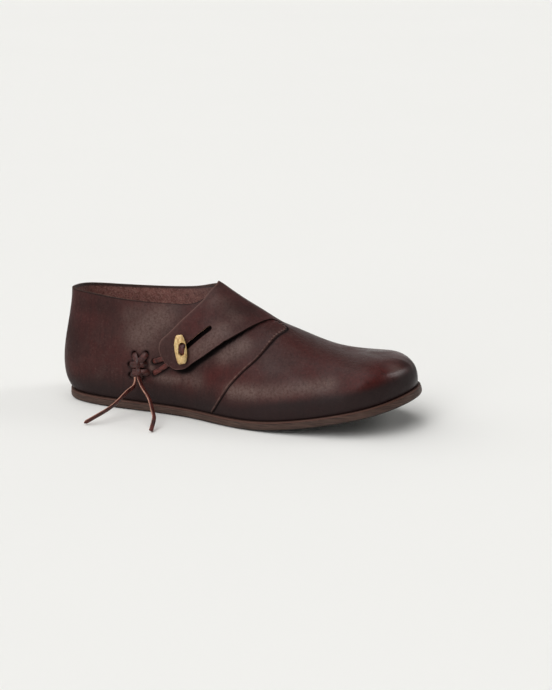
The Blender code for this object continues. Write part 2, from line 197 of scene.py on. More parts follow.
# one side of the upper: t is the station, v goes from the sole to the collar or the ridge
def skinSide(t, v, side):
    t, v = np.broadcast_arrays(np.asarray(t, float), np.asarray(v, float))
    foot, away = featherAt(t, side)
    full = curveThrough(fullLoop, loopPlace(t, side, lastStation), True)
    lift, swell, pull, drop = (full[..., k:k + 1] for k in range(4))
    top, slope = ridgeAt(t)
    collar = curveThrough(collarLoop, loopPlace(np.minimum(t, throat), side, throat), True)
    top = np.where((t <= throat)[..., None], collar, top)
    base = shoeShape["soleThickness"] + shoeShape["seatGap"] + springAt(foot[..., 0])
    start = np.concatenate([foot, base[..., None]], -1)
    lean = start.copy()
    lean[..., :2] += away * swell
    lean[..., 2:] += lift
    reach = foot - top[..., :2]
    turn = top.copy()
    turn[..., :2] += reach * pull
    turn[..., 2:] += (slope * reach[..., 0] * smoothStep(t, throat, throat + 2))[..., None] * pull - drop
    v = v[..., None]
    u = 1.0 - v
    return u ** 3 * start + 3.0 * u * u * v * lean + 3.0 * u * v * v * turn + v ** 3 * top


# the whole upper: shares above 1 come down the inner side
def skinAt(t, w):
    t, w = np.broadcast_arrays(np.asarray(t, float), np.asarray(w, float))
    one = skinSide(t, np.minimum(w, 1.0), outer)
    two = skinSide(t, np.minimum(2.0 - w, 1.0), inner)
    return np.where((w <= 1.0)[..., None], one, two)


def skinNormal(t, w):
    t, w = np.broadcast_arrays(np.asarray(t, float), np.asarray(w, float))
    step = 0.002
    inside = np.where(w <= 1.0, np.minimum(w, 1.0 - step), np.maximum(w, 1.0 + step))
    run = skinAt(t + step, inside) - skinAt(t - step, inside)
    rise = skinAt(t, inside + 0.9 * step) - skinAt(t, inside - 0.9 * step)
    return unit(np.cross(run, rise))


def overSkin(t, w, height):
    t, w, height = np.broadcast_arrays(*(np.asarray(a, float) for a in (t, w, height)))
    return skinAt(t, w) + skinNormal(t, w) * height[..., None]


# a line on the upper through a few given places
def onSkin(places, count):
    path = finerLine(places, count)
    return overSkin(path[:, 0], path[:, 1], 0.0)


def rimShare(t, side):
    share = curveThrough(rimLoop, loopPlace(np.minimum(t, throat), side, throat), True)[..., 0]
    return np.where(np.asarray(t) < throat, share, 1.0)


def toMetres(points):
    return (np.asarray(points, float) - np.array([*shoeShape["middle"], 0.0])) * 0.001


def toMillimetres(points):
    return np.asarray(points, float) * 1000.0 + np.array([*shoeShape["middle"], 0.0])


# stations at even steps along the sole's edge
def evenStations(count):
    fine = np.linspace(0.0, lastStation, 2401)
    edge, _ = featherAt(fine, outer)
    run = lengthAlong(edge)
    stations = np.interp(np.linspace(0.0, run[-1], count + 1), run, fine)
    stations[-1] = lastStation
    return stations


# mesh helpers

def addPiece(name, mesh, *finishes):
    piece = bpy.data.objects.new(name, mesh)
    scene.collection.objects.link(piece)
    for finish in finishes:
        mesh.materials.append(finish)
    return piece


def gridBmesh(work, points, flip=False, loopAcross=False, marks=None):
    layers = work.verts.layers.float
    named = {name: layers.get(name) or layers.new(name) for name in marks or ()}
    rows = []
    for i, line in enumerate(toMetres(points)):
        row = []
        for k, spot in enumerate(line):
            vert = work.verts.new(spot)
            for name, layer in named.items():
                vert[layer] = float(marks[name][i, k])
            row.append(vert)
        rows.append(row)
    faces = []
    for low, high in zip(rows, rows[1:]):
        count = len(low)
        for k in range(count if loopAcross else count - 1):
            n = (k + 1) % count
            corners = [low[k], high[k], high[n], low[n]]
            faces.append(work.faces.new(corners[::-1] if flip else corners))
    return rows, faces


def meshFrom(work, name):
    mesh = bpy.data.meshes.new(name)
    work.to_mesh(mesh)
    work.free()
    return mesh


def finishMesh(work, name, weld=0.00002):
    bmesh.ops.remove_doubles(work, verts=work.verts, dist=weld)
    bmesh.ops.dissolve_degenerate(work, edges=work.edges, dist=weld)
    return meshFrom(work, name)


def coordsOf(mesh):
    values = np.empty(len(mesh.vertices) * 3)
    mesh.vertices.foreach_get("co", values)
    return values.reshape(-1, 3)


def normalsOf(mesh):
    values = np.empty(len(mesh.vertices) * 3)
    mesh.vertex_normals.foreach_get("vector", values)
    return values.reshape(-1, 3)


def moveTo(mesh, coords):
    mesh.vertices.foreach_set("co", np.asarray(coords, float).ravel())
    mesh.update()


def readMark(mesh, name):
    values = np.empty(len(mesh.vertices))
    mesh.attributes[name].data.foreach_get("value", values)
    return values


def writeMark(mesh, name, values):
    mark = mesh.attributes.get(name) or mesh.attributes.new(name, "FLOAT", "POINT")
    mark.data.foreach_set("value", np.asarray(values, np.float32))


def applyModifiers(piece):
    view = bpy.context.evaluated_depsgraph_get()
    shaped = piece.evaluated_get(view)
    mesh = bpy.data.meshes.new_from_object(shaped, preserve_all_data_layers=True, depsgraph=view)
    old = piece.data
    piece.modifiers.clear()
    piece.data = mesh
    mesh.name = piece.name
    bpy.data.meshes.remove(old)


def shadeSmooth(piece, angle=38.0):
    piece.data.shade_smooth()
    piece.data.set_sharp_from_angle(angle=math.radians(angle))


def addWall(piece, thickness, offset, insideSlot=0, rimSlot=0, group=None):
    wall = piece.modifiers.new("wall", "SOLIDIFY")
    wall.thickness = thickness * 0.001
    wall.offset = offset
    wall.use_even_offset = True
    wall.use_quality_normals = True
    wall.material_offset = insideSlot
    wall.material_offset_rim = rimSlot
    if group:
        wall.vertex_group = group


def roundEdges(piece, width, segments=2, angle=55.0):
    edge = piece.modifiers.new("edge", "BEVEL")
    edge.width = width * 0.001
    edge.segments = segments
    edge.limit_method = "ANGLE"
    edge.angle_limit = math.radians(angle)
    edge.use_clamp_overlap = True


# distance from each point to the nearest point of a line, and which one it is
def nearestOn(points, line):
    best = np.full(len(points), 1e9)
    index = np.zeros(len(points), int)
    for k, spot in enumerate(line):
        far = np.sum((points - spot) ** 2, axis=1)
        closer = far < best
        best[closer] = far[closer]
        index[closer] = k
    return np.sqrt(best), index


def unevenness(coords, scale, seed):
    shift = Vector((seed * 3.1, seed * 1.7, seed * 2.3))
    return np.array([noise.noise(Vector(c) * scale + shift) for c in coords])


# material helpers

class Nodes:
    def __init__(self, tree):
        self.tree = tree

    def link(self, source, target):
        self.tree.links.new(source, target)

    # numbers and colours are set on the sockets, anything else is linked to them
    def node(self, kind, sockets=None, **settings):
        made = self.tree.nodes.new(kind)
        for key, value in settings.items():
            setattr(made, key, value)
        for key, value in (sockets or {}).items():
            socket = made.inputs[key]
            if isinstance(value, (int, float, tuple)):
                socket.default_value = (*value, 1.0) if socket.type == "RGBA" else value
            else:
                self.link(value, socket)
        return made

    def spread(self, value, low, high, toLow=0.0, toHigh=1.0):
        sockets = {"Value": value, "From Min": low, "From Max": high, "To Min": toLow, "To Max": toHigh}
        return self.node("ShaderNodeMapRange", sockets, interpolation_type="SMOOTHSTEP").outputs["Result"]


class Finish(Nodes):
    def __init__(self, name):
        self.material = bpy.data.materials.new(name)
        self.material.use_nodes = True
        super().__init__(self.material.node_tree)
        self.shader = self.tree.nodes["Principled BSDF"]
        self.place = self.node("ShaderNodeTexCoord").outputs["Object"]

    def stretched(self, scale, turn=(0, 0, 0)):
        sockets = {"Vector": self.place, "Scale": scale, "Rotation": turn}
        return self.node("ShaderNodeMapping", sockets).outputs["Vector"]

    def noise(self, scale, detail=3.0, rough=0.55, place=None, distortion=0.0):
        sockets = {"Vector": place or self.place, "Scale": scale, "Detail": detail, "Roughness": rough,
                   "Distortion": distortion}
        return self.node("ShaderNodeTexNoise", sockets).outputs["Fac"]

    def cells(self, scale):
        sockets = {"Vector": self.place, "Scale": scale}
        return self.node("ShaderNodeTexVoronoi", sockets, feature="F1").outputs["Distance"]

    def mark(self, name):
        return self.node("ShaderNodeAttribute", attribute_name=name).outputs["Fac"]

    def sums(self, operation, a, b):
        return self.node("ShaderNodeMath", {0: a, 1: b}, operation=operation).outputs["Value"]

    def blendColour(self, amount, a, b):
        sockets = {"Factor": amount, 6: a, 7: b}
        return self.node("ShaderNodeMix", sockets, data_type="RGBA", blend_type="MIX").outputs[2]

    # a shade laid over a colour as a value goes from low to high
    def tint(self, colour, value, low, high, amount, shade):
        return self.blendColour(self.spread(value, low, high, 0.0, amount), colour, shade)

    # two shades mottled by a noise
    def mottled(self, noise, dark, light, low=0.3, high=0.7):
        return self.blendColour(self.spread(noise, low, high), dark, light)

    def dullness(self, noise, low, high):
        return self.spread(noise, 0.2, 0.8, low, high)

    def bump(self, height, distance, strength=1.0, before=None):
        sockets = {"Height": height, "Distance": distance, "Strength": strength}
        if before is not None:
            sockets["Normal"] = before
        return self.node("ShaderNodeBump", sockets).outputs["Normal"]

    def close(self, colour, roughness, normal, gloss=0.5, **values):
        self.link(colour, self.shader.inputs["Base Color"])
        self.link(roughness, self.shader.inputs["Roughness"])
        self.link(normal, self.shader.inputs["Normal"])
        self.shader.inputs["Specular IOR Level"].default_value = gloss
        for name, value in values.items():
            self.shader.inputs[name].default_value = value
        return self.material


leatherLook = {
    "deep": (0.0225, 0.0089, 0.0082),
    "brown": (0.0485, 0.0196, 0.0177),
    "burgundy": (0.066, 0.0150, 0.0136),
    # pale colour for painted sheen and highlights, partly wear
    "paintedSheenAndWear": (0.132, 0.083, 0.072),
    # dull spots: painted shade, with the roughness raised there
    "dullAndShade": (0.016, 0.0072, 0.0068),
    # painted shade with a cool floor reflection, low on the sides
    "paintedSoleShade": (0.0178, 0.0112, 0.0112),
    # pale edge: wear with a painted highlight along raised edges
    "paleEdgeWearAndHighlight": (0.210, 0.118, 0.098),
    # near black: painted shade and shadow in the seam, the holes, at the foot and under the strap, knot and
    # loop, and the collar's dark rim
    "paintedShadeAndDarkRim": (0.004, 0.002, 0.002),
}


def makeUpperLeather():
    look, finish = leatherLook, Finish("upperGrain")
    patches = finish.spread(finish.noise(26.0, 3.0, 0.6), 0.38, 0.66, 0.0, 0.8)
    patches = finish.sums("MAXIMUM", patches, finish.mark("red"))
    colour = finish.blendColour(patches, look["brown"], look["burgundy"])
    streaks = finish.noise(1.0, 4.0, 0.6, finish.stretched((330, 330, 34), (0.12, 0.25, 0)))
    colour = finish.tint(colour, streaks, 0.42, 0.75, 0.45, look["deep"])
    haze = finish.spread(finish.noise(62.0, 5.0, 0.65, distortion=0.6), 0.50, 0.82, 0.0, 0.22)
    fine = finish.noise(560.0, 5.0, 0.75)
    haze = finish.sums("MAXIMUM", haze, finish.spread(fine, 0.52, 0.72, 0.0, 0.32))
    haze = finish.sums("MULTIPLY", haze, finish.spread(finish.mark("red"), 0.2, 1.0, 1.0, 0.35))
    fleck = finish.spread(fine, 0.30, 0.66, 0.40, 1.12)
    # painted sheen and highlights, partly pale wear, where the mark is set, over a random pale haze
    paintedSheenAndWear = finish.sums("MAXIMUM", haze, finish.sums("MULTIPLY", finish.mark("paintedSheenAndWear"), fleck))
    colour = finish.tint(colour, fine, 0.50, 0.30, 0.55, look["deep"])
    colour = finish.blendColour(paintedSheenAndWear, colour, look["paintedSheenAndWear"])
    # dull spots with painted shade, painted shade and floor reflection near the sole, pale edge of wear and
    # painted highlight, and painted shade and the dark rim
    for name in ("dullAndShade", "paintedSoleShade", "paleEdgeWearAndHighlight", "paintedShadeAndDarkRim"):
        colour = finish.blendColour(finish.mark(name), colour, look[name])
    roughness = finish.spread(finish.noise(75.0, 4.0), 0.3, 0.75, 0.42, 0.60)
    roughness = finish.sums("SUBTRACT", roughness, finish.sums("MULTIPLY", finish.mark("polish"), 0.12))
    roughness = finish.sums("ADD", roughness, finish.sums("MULTIPLY", finish.mark("dullAndShade"), 0.3))
    roughness = finish.sums("MAXIMUM", roughness, finish.mark("paintedShadeAndDarkRim"))
    grain = finish.cells(780.0)
    calm = finish.spread(finish.mark("polish"), 1.0, 1.7, 1.0, 0.2)
    pebble = finish.sums("MULTIPLY", finish.noise(420.0, 4.0, 0.6), calm)
    normal = finish.bump(finish.sums("MULTIPLY", finish.noise(170.0, 4.0, 0.65), calm), 0.0009, 0.32)
    normal = finish.bump(pebble, 0.00035, 0.75, normal)
    normal = finish.bump(grain, 0.00016, 0.35, normal)
    # wax shine on the toe
    finish.link(finish.mark("shine"), finish.shader.inputs["Coat Weight"])
    return finish.close(colour, roughness, normal, 0.13, **{"Coat Roughness": 0.30})


def makeFleshSide():
    finish = Finish("fleshSide")
    nap = finish.noise(900.0, 4.0, 0.7)
    clumps = finish.noise(210.0, 4.0, 0.6)
    colour = finish.mottled(clumps, (0.150, 0.048, 0.037), (0.270, 0.104, 0.082))
    colour = finish.tint(colour, nap, 0.44, 0.68, 0.75, (0.430, 0.220, 0.180))
    specks = finish.noise(640.0, 3.0, 0.7, finish.stretched((1, 1, 1), (0.4, 0.9, 0.2)))
    colour = finish.tint(colour, specks, 0.50, 0.68, 0.65, (0.060, 0.020, 0.016))
    colour = finish.blendColour(finish.mark("rim"), colour, (0.014, 0.006, 0.005))
    normal = finish.bump(clumps, 0.0006, 0.6)
    normal = finish.bump(nap, 0.0005, 0.7, normal)
    roughness = finish.dullness(nap, 0.84, 0.97)
    return finish.close(colour, roughness, normal, 0.25, **{"Sheen Weight": 0.25, "Sheen Roughness": 0.6})


def makeCutEdge():
    finish = Finish("cutEdge")
    fibres = finish.noise(1.0, 4.0, 0.65, finish.stretched((260, 260, 900)))
    colour = finish.mottled(fibres, (0.140, 0.066, 0.052), (0.320, 0.185, 0.145), 0.3, 0.72)
    # cut edges darkened all round on the upper; on the strap only along its low edge, dark dye and painted
    # shade there
    colour = finish.blendColour(finish.mark("darkEdge"), colour, (0.016, 0.007, 0.006))
    normal = finish.bump(fibres, 0.0003, 0.6)
    roughness = finish.dullness(fibres, 0.75, 0.92)
    return finish.close(colour, roughness, normal, 0.12)


upperGrain = makeUpperLeather()
fleshSide = makeFleshSide()
cutEdge = makeCutEdge()
print("leathers ready")

# thong ends, cut flat, from the knot down to the floor

thongPiece = {
    "width": 3.3,
    "thick": 1.7,
    "rear": [(71.2, -38.1, 27.6), (71.9, -42, 21.9), (68.8, -49, 18.6), (64.2, -60.5, 12.2),
             (57, -73, 6.9), (48, -82, 1.5)],
    "front": [(74.2, -37.9, 27.8), (82, -48, 23), (91, -57, 18.2), (97.5, -66, 11.8), (101, -71.5, 8.2),
              (102.5, -81, 1.5)],
    # turn of the flat side along each end, in degrees
    "rearTwist": (-95, -112),
    "frontTwist": (-25, -45),
    # grain side: dark and light shade
    "grain": ((0.030, 0.0070, 0.0056), (0.125, 0.0280, 0.0215)),
    # the knot's grain, a darker copy: painted shade of the tight bundle
    "knotGrain": ((0.020, 0.0060, 0.0052), (0.082, 0.0230, 0.0190)),
    # cut fibres: size and roughness of the noise, dark and light shade, range of roughness, gloss
    "edge": (520.0, 0.60, (0.250, 0.105, 0.070), (0.500, 0.255, 0.175), (0.55, 0.75), 0.5),
    "flesh": (760.0, 0.65, (0.120, 0.045, 0.032), (0.290, 0.120, 0.085), (0.60, 0.80), 0.5),
    # painted shade for the cut sides in the knot and the loop
    "shade": (520.0, 0.60, (0.008, 0.003, 0.0025), (0.030, 0.010, 0.008), (0.70, 0.90), 0.1),
}


def makeThongLeather(name, dark, light):
    finish = Finish(name)
    mottle = finish.noise(240.0, 4.0, 0.6)
    colour = finish.mottled(mottle, dark, light)
    normal = finish.bump(finish.noise(900.0, 3.0), 0.0003, 0.5)
    roughness = finish.dullness(mottle, 0.28, 0.42)
    return finish.close(colour, roughness, normal, 0.30)


def makeThongFibres(name, scale, rough, dark, light, dullness, gloss):
    finish = Finish(name)
    fibres = finish.noise(scale, 4.0, rough)
    colour = finish.mottled(fibres, dark, light)
    normal = finish.bump(fibres, 0.0003, 0.5)
    roughness = finish.dullness(fibres, *dullness)
    return finish.close(colour, roughness, normal, gloss)


thongGrain = makeThongLeather("thongLeather", *thongPiece["grain"])
# a darker copy of the thong leather for the knot: painted shade
knotGrain = makeThongLeather("knotLeather", *thongPiece["knotGrain"])
thongEdge = makeThongFibres("thongEdge", *thongPiece["edge"])
thongFlesh = makeThongFibres("thongFlesh", *thongPiece["flesh"])
# painted shade on the cut sides in the knot and the loop, where no light falls
thongShade = makeThongFibres("thongShade", *thongPiece["shade"])


# flat strip with soft corners along a line; away is the way its grain side faces
def makeStrip(name, line, away, width, thick, roundStart=True, roundEnd=True, crown=1.08):
    run = unit(np.gradient(line, axis=0))
    away = unit(away - run * np.sum(away * run, axis=1, keepdims=True))
    side = np.cross(run, away)
    far = lengthAlong(line)
    taper = np.ones(len(line))
    for on, gap in ((roundStart, far), (roundEnd, far[-1] - far)):
        if on:
            near = np.clip(1.0 - gap / (0.5 * width), 0.0, 1.0)
            taper = np.minimum(taper, np.sqrt(np.maximum(1.0 - near ** 2, 0.02)))
    half, deep, soft = 0.5 * width, 0.5 * thick, 0.32 * thick
    flank, raised, chamfer = 0.5 * (half - soft), deep * (0.25 + 0.75 * crown), 0.3 * soft
    # across, up, and the finish from there to the next: 0 grain, 1 cut edge, 2 flesh side
    profile = [
        (-half + soft, deep, 0), (-flank, raised, 0), (0.0, deep * crown, 0), (flank, raised, 0),
        (half - soft, deep, 0), (half - chamfer, deep - chamfer, 0), (half, deep - soft, 1),
        (half, -deep + soft, 1), (half - soft, -deep, 2), (0.0, -deep, 2), (-half + soft, -deep, 1),
        (-half, -deep + soft, 1), (-half, deep - soft, 0), (-half + chamfer, deep - chamfer, 0),
    ]
    rings = np.stack([line + side * (a * taper)[:, None] + away * (b * np.sqrt(taper))[:, None]
                      for a, b, _ in profile], 1)
    work = bmesh.new()
    rows, faces = gridBmesh(work, rings, loopAcross=True)
    for number, face in enumerate(faces):
        face.material_index = profile[number % len(profile)][2]
    work.faces.new(rows[0])
    work.faces.new(rows[-1][::-1])
    bmesh.ops.recalc_face_normals(work, faces=work.faces)
    return meshFrom(work, name)


# the same line with points at even steps
def evenLine(line, count):
    fine = finerLine(line, 400)
    run = lengthAlong(fine)
    goal = np.linspace(0.0, run[-1], count)
    return np.stack([np.interp(goal, run, fine[:, k]) for k in range(3)], 1)


def makeThongEnd(name, route, twist, pointed):
    line = evenLine(route, 36)
    run = unit(np.gradient(line, axis=0))
    level = unit(np.cross(run, (0.0, 0.0, 1.0)))
    upward = np.cross(level, run)
    turn = np.radians(np.linspace(*twist, len(line)))[:, None]
    away = upward * np.cos(turn) + level * np.sin(turn)
    mesh = makeStrip(name, line, away, thongPiece["width"], thongPiece["thick"], False, pointed)
    piece = addPiece(name, mesh, thongGrain, thongEdge, thongFlesh)
    shadeSmooth(piece, 50.0)
    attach(piece, "root")
    return piece, toMetres(line)


rearEnd, rearLine = makeThongEnd("thongEndRear", thongPiece["rear"], thongPiece["rearTwist"], True)
frontEnd, frontLine = makeThongEnd("thongEndFront", thongPiece["front"], thongPiece["frontTwist"], False)
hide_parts("thong_end_rear")
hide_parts("thong_end_front")
print("thong ends laid")

# sole: one thick leather, its edge dressed and rounded

solePiece = {
    "margin": 2.0,
    "around": 260,
    "across": 12,
    # outward from the margin, share of the thickness from the bottom
    "edge": [
        (-3.2, 0.0), (-2.0, 0.012), (-1.1, 0.06), (-0.45, 0.16), (-0.08, 0.32), (0.0, 0.5), (-0.03, 0.66),
        (-0.12, 0.80), (-0.30, 0.815), (-0.30, 0.845), (-0.10, 0.86), (-0.10, 0.93), (-0.40, 0.985),
        (-1.0, 1.0),
    ],
    # shades by level, from the bottom at 0 to the top at 1: start, end, amount, colour; a pale band on the
    # edge, painted contact shadow at the bottom, painted shade at the top under the upper
    "levels": [
        (0.80, 0.90, 0.75, (0.095, 0.036, 0.024)), (0.22, 0.08, 0.92, (0.007, 0.005, 0.004)),
        (0.94, 1.00, 0.60, (0.040, 0.020, 0.014)),
    ],
}


def makeSoleLeather():
    finish = Finish("soleLeather")
    level = finish.mark("level")
    layers = finish.noise(1.0, 4.0, 0.65, finish.stretched((60, 60, 1500)))
    blotch = finish.noise(70.0, 4.0, 0.6)
    colour = finish.mottled(layers, (0.030, 0.0155, 0.0115), (0.112, 0.063, 0.047), 0.3, 0.75)
    colour = finish.tint(colour, blotch, 0.40, 0.75, 0.5, (0.060, 0.030, 0.022))
    # painted contact shadow at the bottom of the edge and painted shade at its top
    for shade in solePiece["levels"]:
        colour = finish.tint(colour, level, *shade)
    normal = finish.bump(layers, 0.0004, 0.5)
    normal = finish.bump(finish.noise(700.0, 3.0), 0.0002, 0.4, normal)
    roughness = finish.dullness(blotch, 0.50, 0.70)
    return finish.close(colour, roughness, normal, 0.3)


soleLeather = makeSoleLeather()


# grid of flat places from the outer to the inner edge
def acrossSole(t, outward, count):
    one, _ = featherAt(t, outer, outward)
    two, _ = featherAt(t, inner, outward)
    part = np.linspace(0.0, 1.0, count + 1)[None, :, None]
    return one[:, None] * (1.0 - part) + two[:, None] * part, part


# a place on the sole: the thickness is measured square to its slope
def soleSpot(flat, share):
    deep = shoeShape["soleThickness"] * (1.0 - share)
    x = flat[..., :1]
    slope = np.arctan((springAt(x + 0.05) - springAt(x - 0.05)) / 0.1)
    high = springAt(x) + shoeShape["soleThickness"] - deep * np.cos(slope)
    return np.concatenate([x + deep * np.sin(slope), flat[..., 1:], high], -1)


def makeSole():
    s = solePiece
    t = evenStations(s["around"])
    work = bmesh.new()
    for side in (outer, inner):
        rings, levels = [], []
        for outward, share in s["edge"]:
            flat, _ = featherAt(t, side, s["margin"] + outward)
            rings.append(soleSpot(flat, share))
            levels.append(np.full(len(t), share))
        gridBmesh(work, np.stack(rings, 1), side == inner, marks={"level": np.stack(levels, 1)})
    for (outward, share), flip in ((s["edge"][0], True), (s["edge"][-1], False)):
        flat, _ = acrossSole(t, s["margin"] + outward, s["across"])
        gridBmesh(work, soleSpot(flat, share), flip, marks={"level": np.full(flat.shape[:2], share)})
    bmesh.ops.remove_doubles(work, verts=work.verts, dist=0.00004)
    bmesh.ops.recalc_face_normals(work, faces=work.faces)
    piece = addPiece("soleLeather", finishMesh(work, "soleLeather"), soleLeather)
    shadeSmooth(piece, 40.0)
    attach(piece, "root")
    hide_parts("outsole")


makeSole()

insolePiece = {
    "inset": 3.2,
    "thick": 2.0,
    "around": 160,
    "across": 24,
    "dish": 0.7,           # worn hollow under the heel
    "dishAt": (45.0, 45.0),  # its middle and reach
}


def makeInsole():
    s = insolePiece
    flat, part = acrossSole(evenStations(s["around"]), -s["inset"], s["across"])
    fade = bell(flat[..., :1], *s["dishAt"])
    dish = s["dish"] * 4.0 * part * (1.0 - part) * fade
    high = springAt(flat[..., :1]) + shoeShape["soleThickness"] + shoeShape["seatGap"] + s["thick"] - dish
    work = bmesh.new()
    gridBmesh(work, np.concatenate([flat, high], -1))
    piece = addPiece("insoleLeather", finishMesh(work, "insoleLeather"), fleshSide)
    addWall(piece, s["thick"], -1.0)
    piece.modifiers["wall"].use_even_offset = False
    applyModifiers(piece)
    shadeSmooth(piece)
    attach(piece, "root")
    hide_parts("insole")


makeInsole()
print("sole and insole made")

# upper: the vamp, the inner side and the outer quarter

upperPiece = {
    "wall": 2.2,
    "along": 232,
    "up": 58,
    "tuck": (0.35, 0.055),  # lower edge drawn in at the sole: how far, up to which share
    "lip": (0.4, 0.02),     # and pressed down on it
    "edgeRound": 0.45,
    # the quarter's edge over the vamp: height, rise from the groove, where it falls and how slowly
    "seamStep": 0.85,
    "seamRise": (-0.2, 0.35),
    "seamFall": (1.4, 4.5),
    "seamReach": 12.0,
    "seamGroove": 0.45,
    "grooveAt": (-0.55, 0.5),
    "stitch": 3.2,
    "stitchPull": 0.45,
    "pullAt": (0.6, 0.9),
    "stitched": (62.0, 40.0),  # the pull dies away between these lengths down the seam
    # faces are split within these reaches of the seam, the holes and the creases, one pass each
    "finer": [(5.0, 3.4, 4.0), (2.6, 2.8, 0.0)],
    "seam": [
        (7.70, 0.985), (7.85, 0.985), (7.97, 0.981), (8.05, 0.969), (8.03, 0.943), (7.84, 0.868),
        (7.58, 0.764), (7.09, 0.546), (6.65, 0.400), (6.25, 0.284), (5.80, 0.160), (5.38, 0.045), (5.2, 0.0),
    ],
    # places given painted sheen and highlights, partly pale wear, dyed redder, and made dull with painted
    # shade: a line of stations and shares, reach, amount
    "paintedSheenAndWear": [
        ([(3.05, 0.62), (3.36, 0.725), (3.70, 0.80)], 13, 0.95),
        ([(2.9, 0.80), (3.3, 0.86), (3.86, 0.87)], 9, 0.5),
        ([(4.2, 0.25), (4.6, 0.24)], 7, 0.6),
        ([(3.3, 0.26), (3.6, 0.235), (3.9, 0.24)], 4, 0.9),
        ([(3.19, 0.37), (3.20, 0.32)], 2.6, 1.0),
        ([(11.30, 0.46), (11.36, 0.44)], 6.0, 0.55),
        ([(5.9, 0.42), (6.32, 0.49), (6.6, 0.56)], 7, 0.9),
        ([(4.7, 0.45), (5.3, 0.50), (5.9, 0.58)], 8, 0.8),
        ([(6.15, 0.19), (6.45, 0.205), (6.75, 0.22)], 6.5, 1.05),
        ([(6.9, 0.235), (7.4, 0.262), (8.12, 0.33), (8.6, 0.375), (9.0, 0.41)], 6.0, 0.75),
        ([(5.70, 0.815), (6.10, 0.785), (6.4, 0.72)], 7, 0.50),
    ],
    "red": [
        ([(0.9, 0.60), (1.5, 0.62)], 14, 0.15),
        ([(5.2, 0.27), (5.48, 0.29), (5.9, 0.33)], 8, 1.0),
        ([(9.8, 0.36), (10.3, 0.42), (11.0, 0.50), (11.6, 0.45)], 14, 1.0),
        ([(8.0, 0.80), (8.6, 0.75), (9.2, 0.70)], 12, 0.6),
    ],
    # spots given painted shade and a rougher face
    "dullAndShade": [
        ([(0.1, 0.85), (0.6, 0.70), (1.3, 0.55)], 16, 0.55),
        ([(1.5, 0.85), (2.4, 0.86)], 9, 0.4),
        ([(11.5, 0.22), (11.84, 0.23), (11.9, 0.50)], 8, 0.75),
        ([(11.9, 1.75), (11.6, 1.60)], 9, 0.8),
        ([(9.82, 0.14), (10.84, 0.14)], 7, 0.3),
        ([(6.3, 0.80), (6.9, 0.90)], 9, 0.5),
    ],
    # holes for the thong, sunk in and darkened with painted shade
    "holes": [(2.82, 0.447), (3.115, 0.460), (2.665, 0.336), (2.645, 0.239), (3.27, 0.390), (3.23, 0.285)],
    "holeRadius": 1.7,
    "holeDepth": 1.5,
    # painted shade with a cool floor reflection towards the sole: heights at the heel and at the toe,
    # stations between, amount
    "soleShade": {"heel": (12.0, 30.0), "toe": (19.0, 26.0), "between": (6.0, 7.5), "amount": 0.85},
    # smoother towards the toe: from station, to station, amount
    "polish": [(5.5, 8.0, 1.0), (9.5, 11.0, 0.7)],
    # wax on the toe: place, then reach and amount of the polish and of the shine
    "toeWax": {"at": (11.20, 0.465), "polish": (10.0, 0.9), "shine": (7.0, 0.8)},
    # the quarter's edge pale, partly wear and partly a painted highlight on its raised corner: middle and
    # reach, amount, and how even, by stitch and patchy it is
    "seamPaleEdge": {
        "at": (0.65, 0.50), "amount": 0.8, "even": 0.50, "stitch": 0.40, "patchy": 0.8, "scale": 420.0,
    },
    # painted shadow in the groove beside it: width, how much wider at the top, and between which lengths
    "seamDark": {"width": 0.70, "wider": 0.45, "between": (52.0, 34.0)},
    # painted shade at the foot, where the upper goes into the sole: shares, amount, how much less at the
    # toe, and between which stations
    "footDark": {"up": (0.016, 0.004), "amount": 0.75, "less": 0.45, "between": (8.5, 10.5)},
    # dark rim of the collar, inside and outside: from, to, amount
    "rimInside": (0.962, 0.988, 0.9),
    "rimOutside": (0.984, 0.996, 0.85),
    "edgeDark": 0.85,
    # soft troughs and ridges: places, depth, half width
    "creases": [
        ([(8.56, 0.46), (8.66, 0.40), (8.68, 0.33)], -0.45, 1.3),
        ([(8.74, 0.50), (8.84, 0.43), (8.86, 0.35)], -0.55, 1.3),
        ([(8.98, 0.47), (9.02, 0.42), (8.98, 0.37)], -0.40, 1.2),
        ([(8.66, 0.47), (8.75, 0.41), (8.77, 0.34)], 0.25, 1.5),
        ([(3.22, 0.43), (3.21, 0.36), (3.19, 0.28)], 0.8, 2.2),
        ([(2.52, 0.38), (2.50, 0.30), (2.53, 0.21)], 0.5, 2.6),
        ([(2.70, 0.20), (2.95, 0.19), (3.20, 0.22)], 0.5, 2.6),
        ([(6.05, 0.33), (5.80, 0.25), (5.70, 0.15)], -0.30, 3.2),
        ([(5.40, 0.33), (5.25, 0.22), (5.20, 0.12)], -0.25, 3.5),
        ([(9.1, 1.52), (9.2, 1.62), (9.15, 1.74)], -0.45, 1.8),
        ([(8.7, 1.50), (8.8, 1.62), (8.75, 1.75)], -0.40, 1.8),
        ([(1.2, 0.86), (1.7, 0.82), (2.3, 0.84)], -0.25, 4.0),
        ([(1.2, 1.14), (1.7, 1.18), (2.3, 1.16)], -0.25, 4.0),
    ],
}


# slow waves of hand-lasted leather, the same in the strap: height, waves to the metre, seed
lastedWaves = [(0.28, 24.0, 1), (0.10, 75.0, 2)]


def leatherWaves(coords):
    return sum(height * unevenness(coords, scale, seed) for height, scale, seed in lastedWaves)


def paintLeather(mesh, points):
    # painted sheen and highlights with some wear, redder dye, and dull spots with painted shade
    for name in ("paintedSheenAndWear", "red", "dullAndShade"):
        value = np.zeros(len(points))
        for line, reach, amount in upperPiece[name]:
            gap, _ = nearestOn(points, onSkin(line, 24))
            value = np.maximum(value, amount * bell(gap, 0.0, reach))
        writeMark(mesh, name, value)


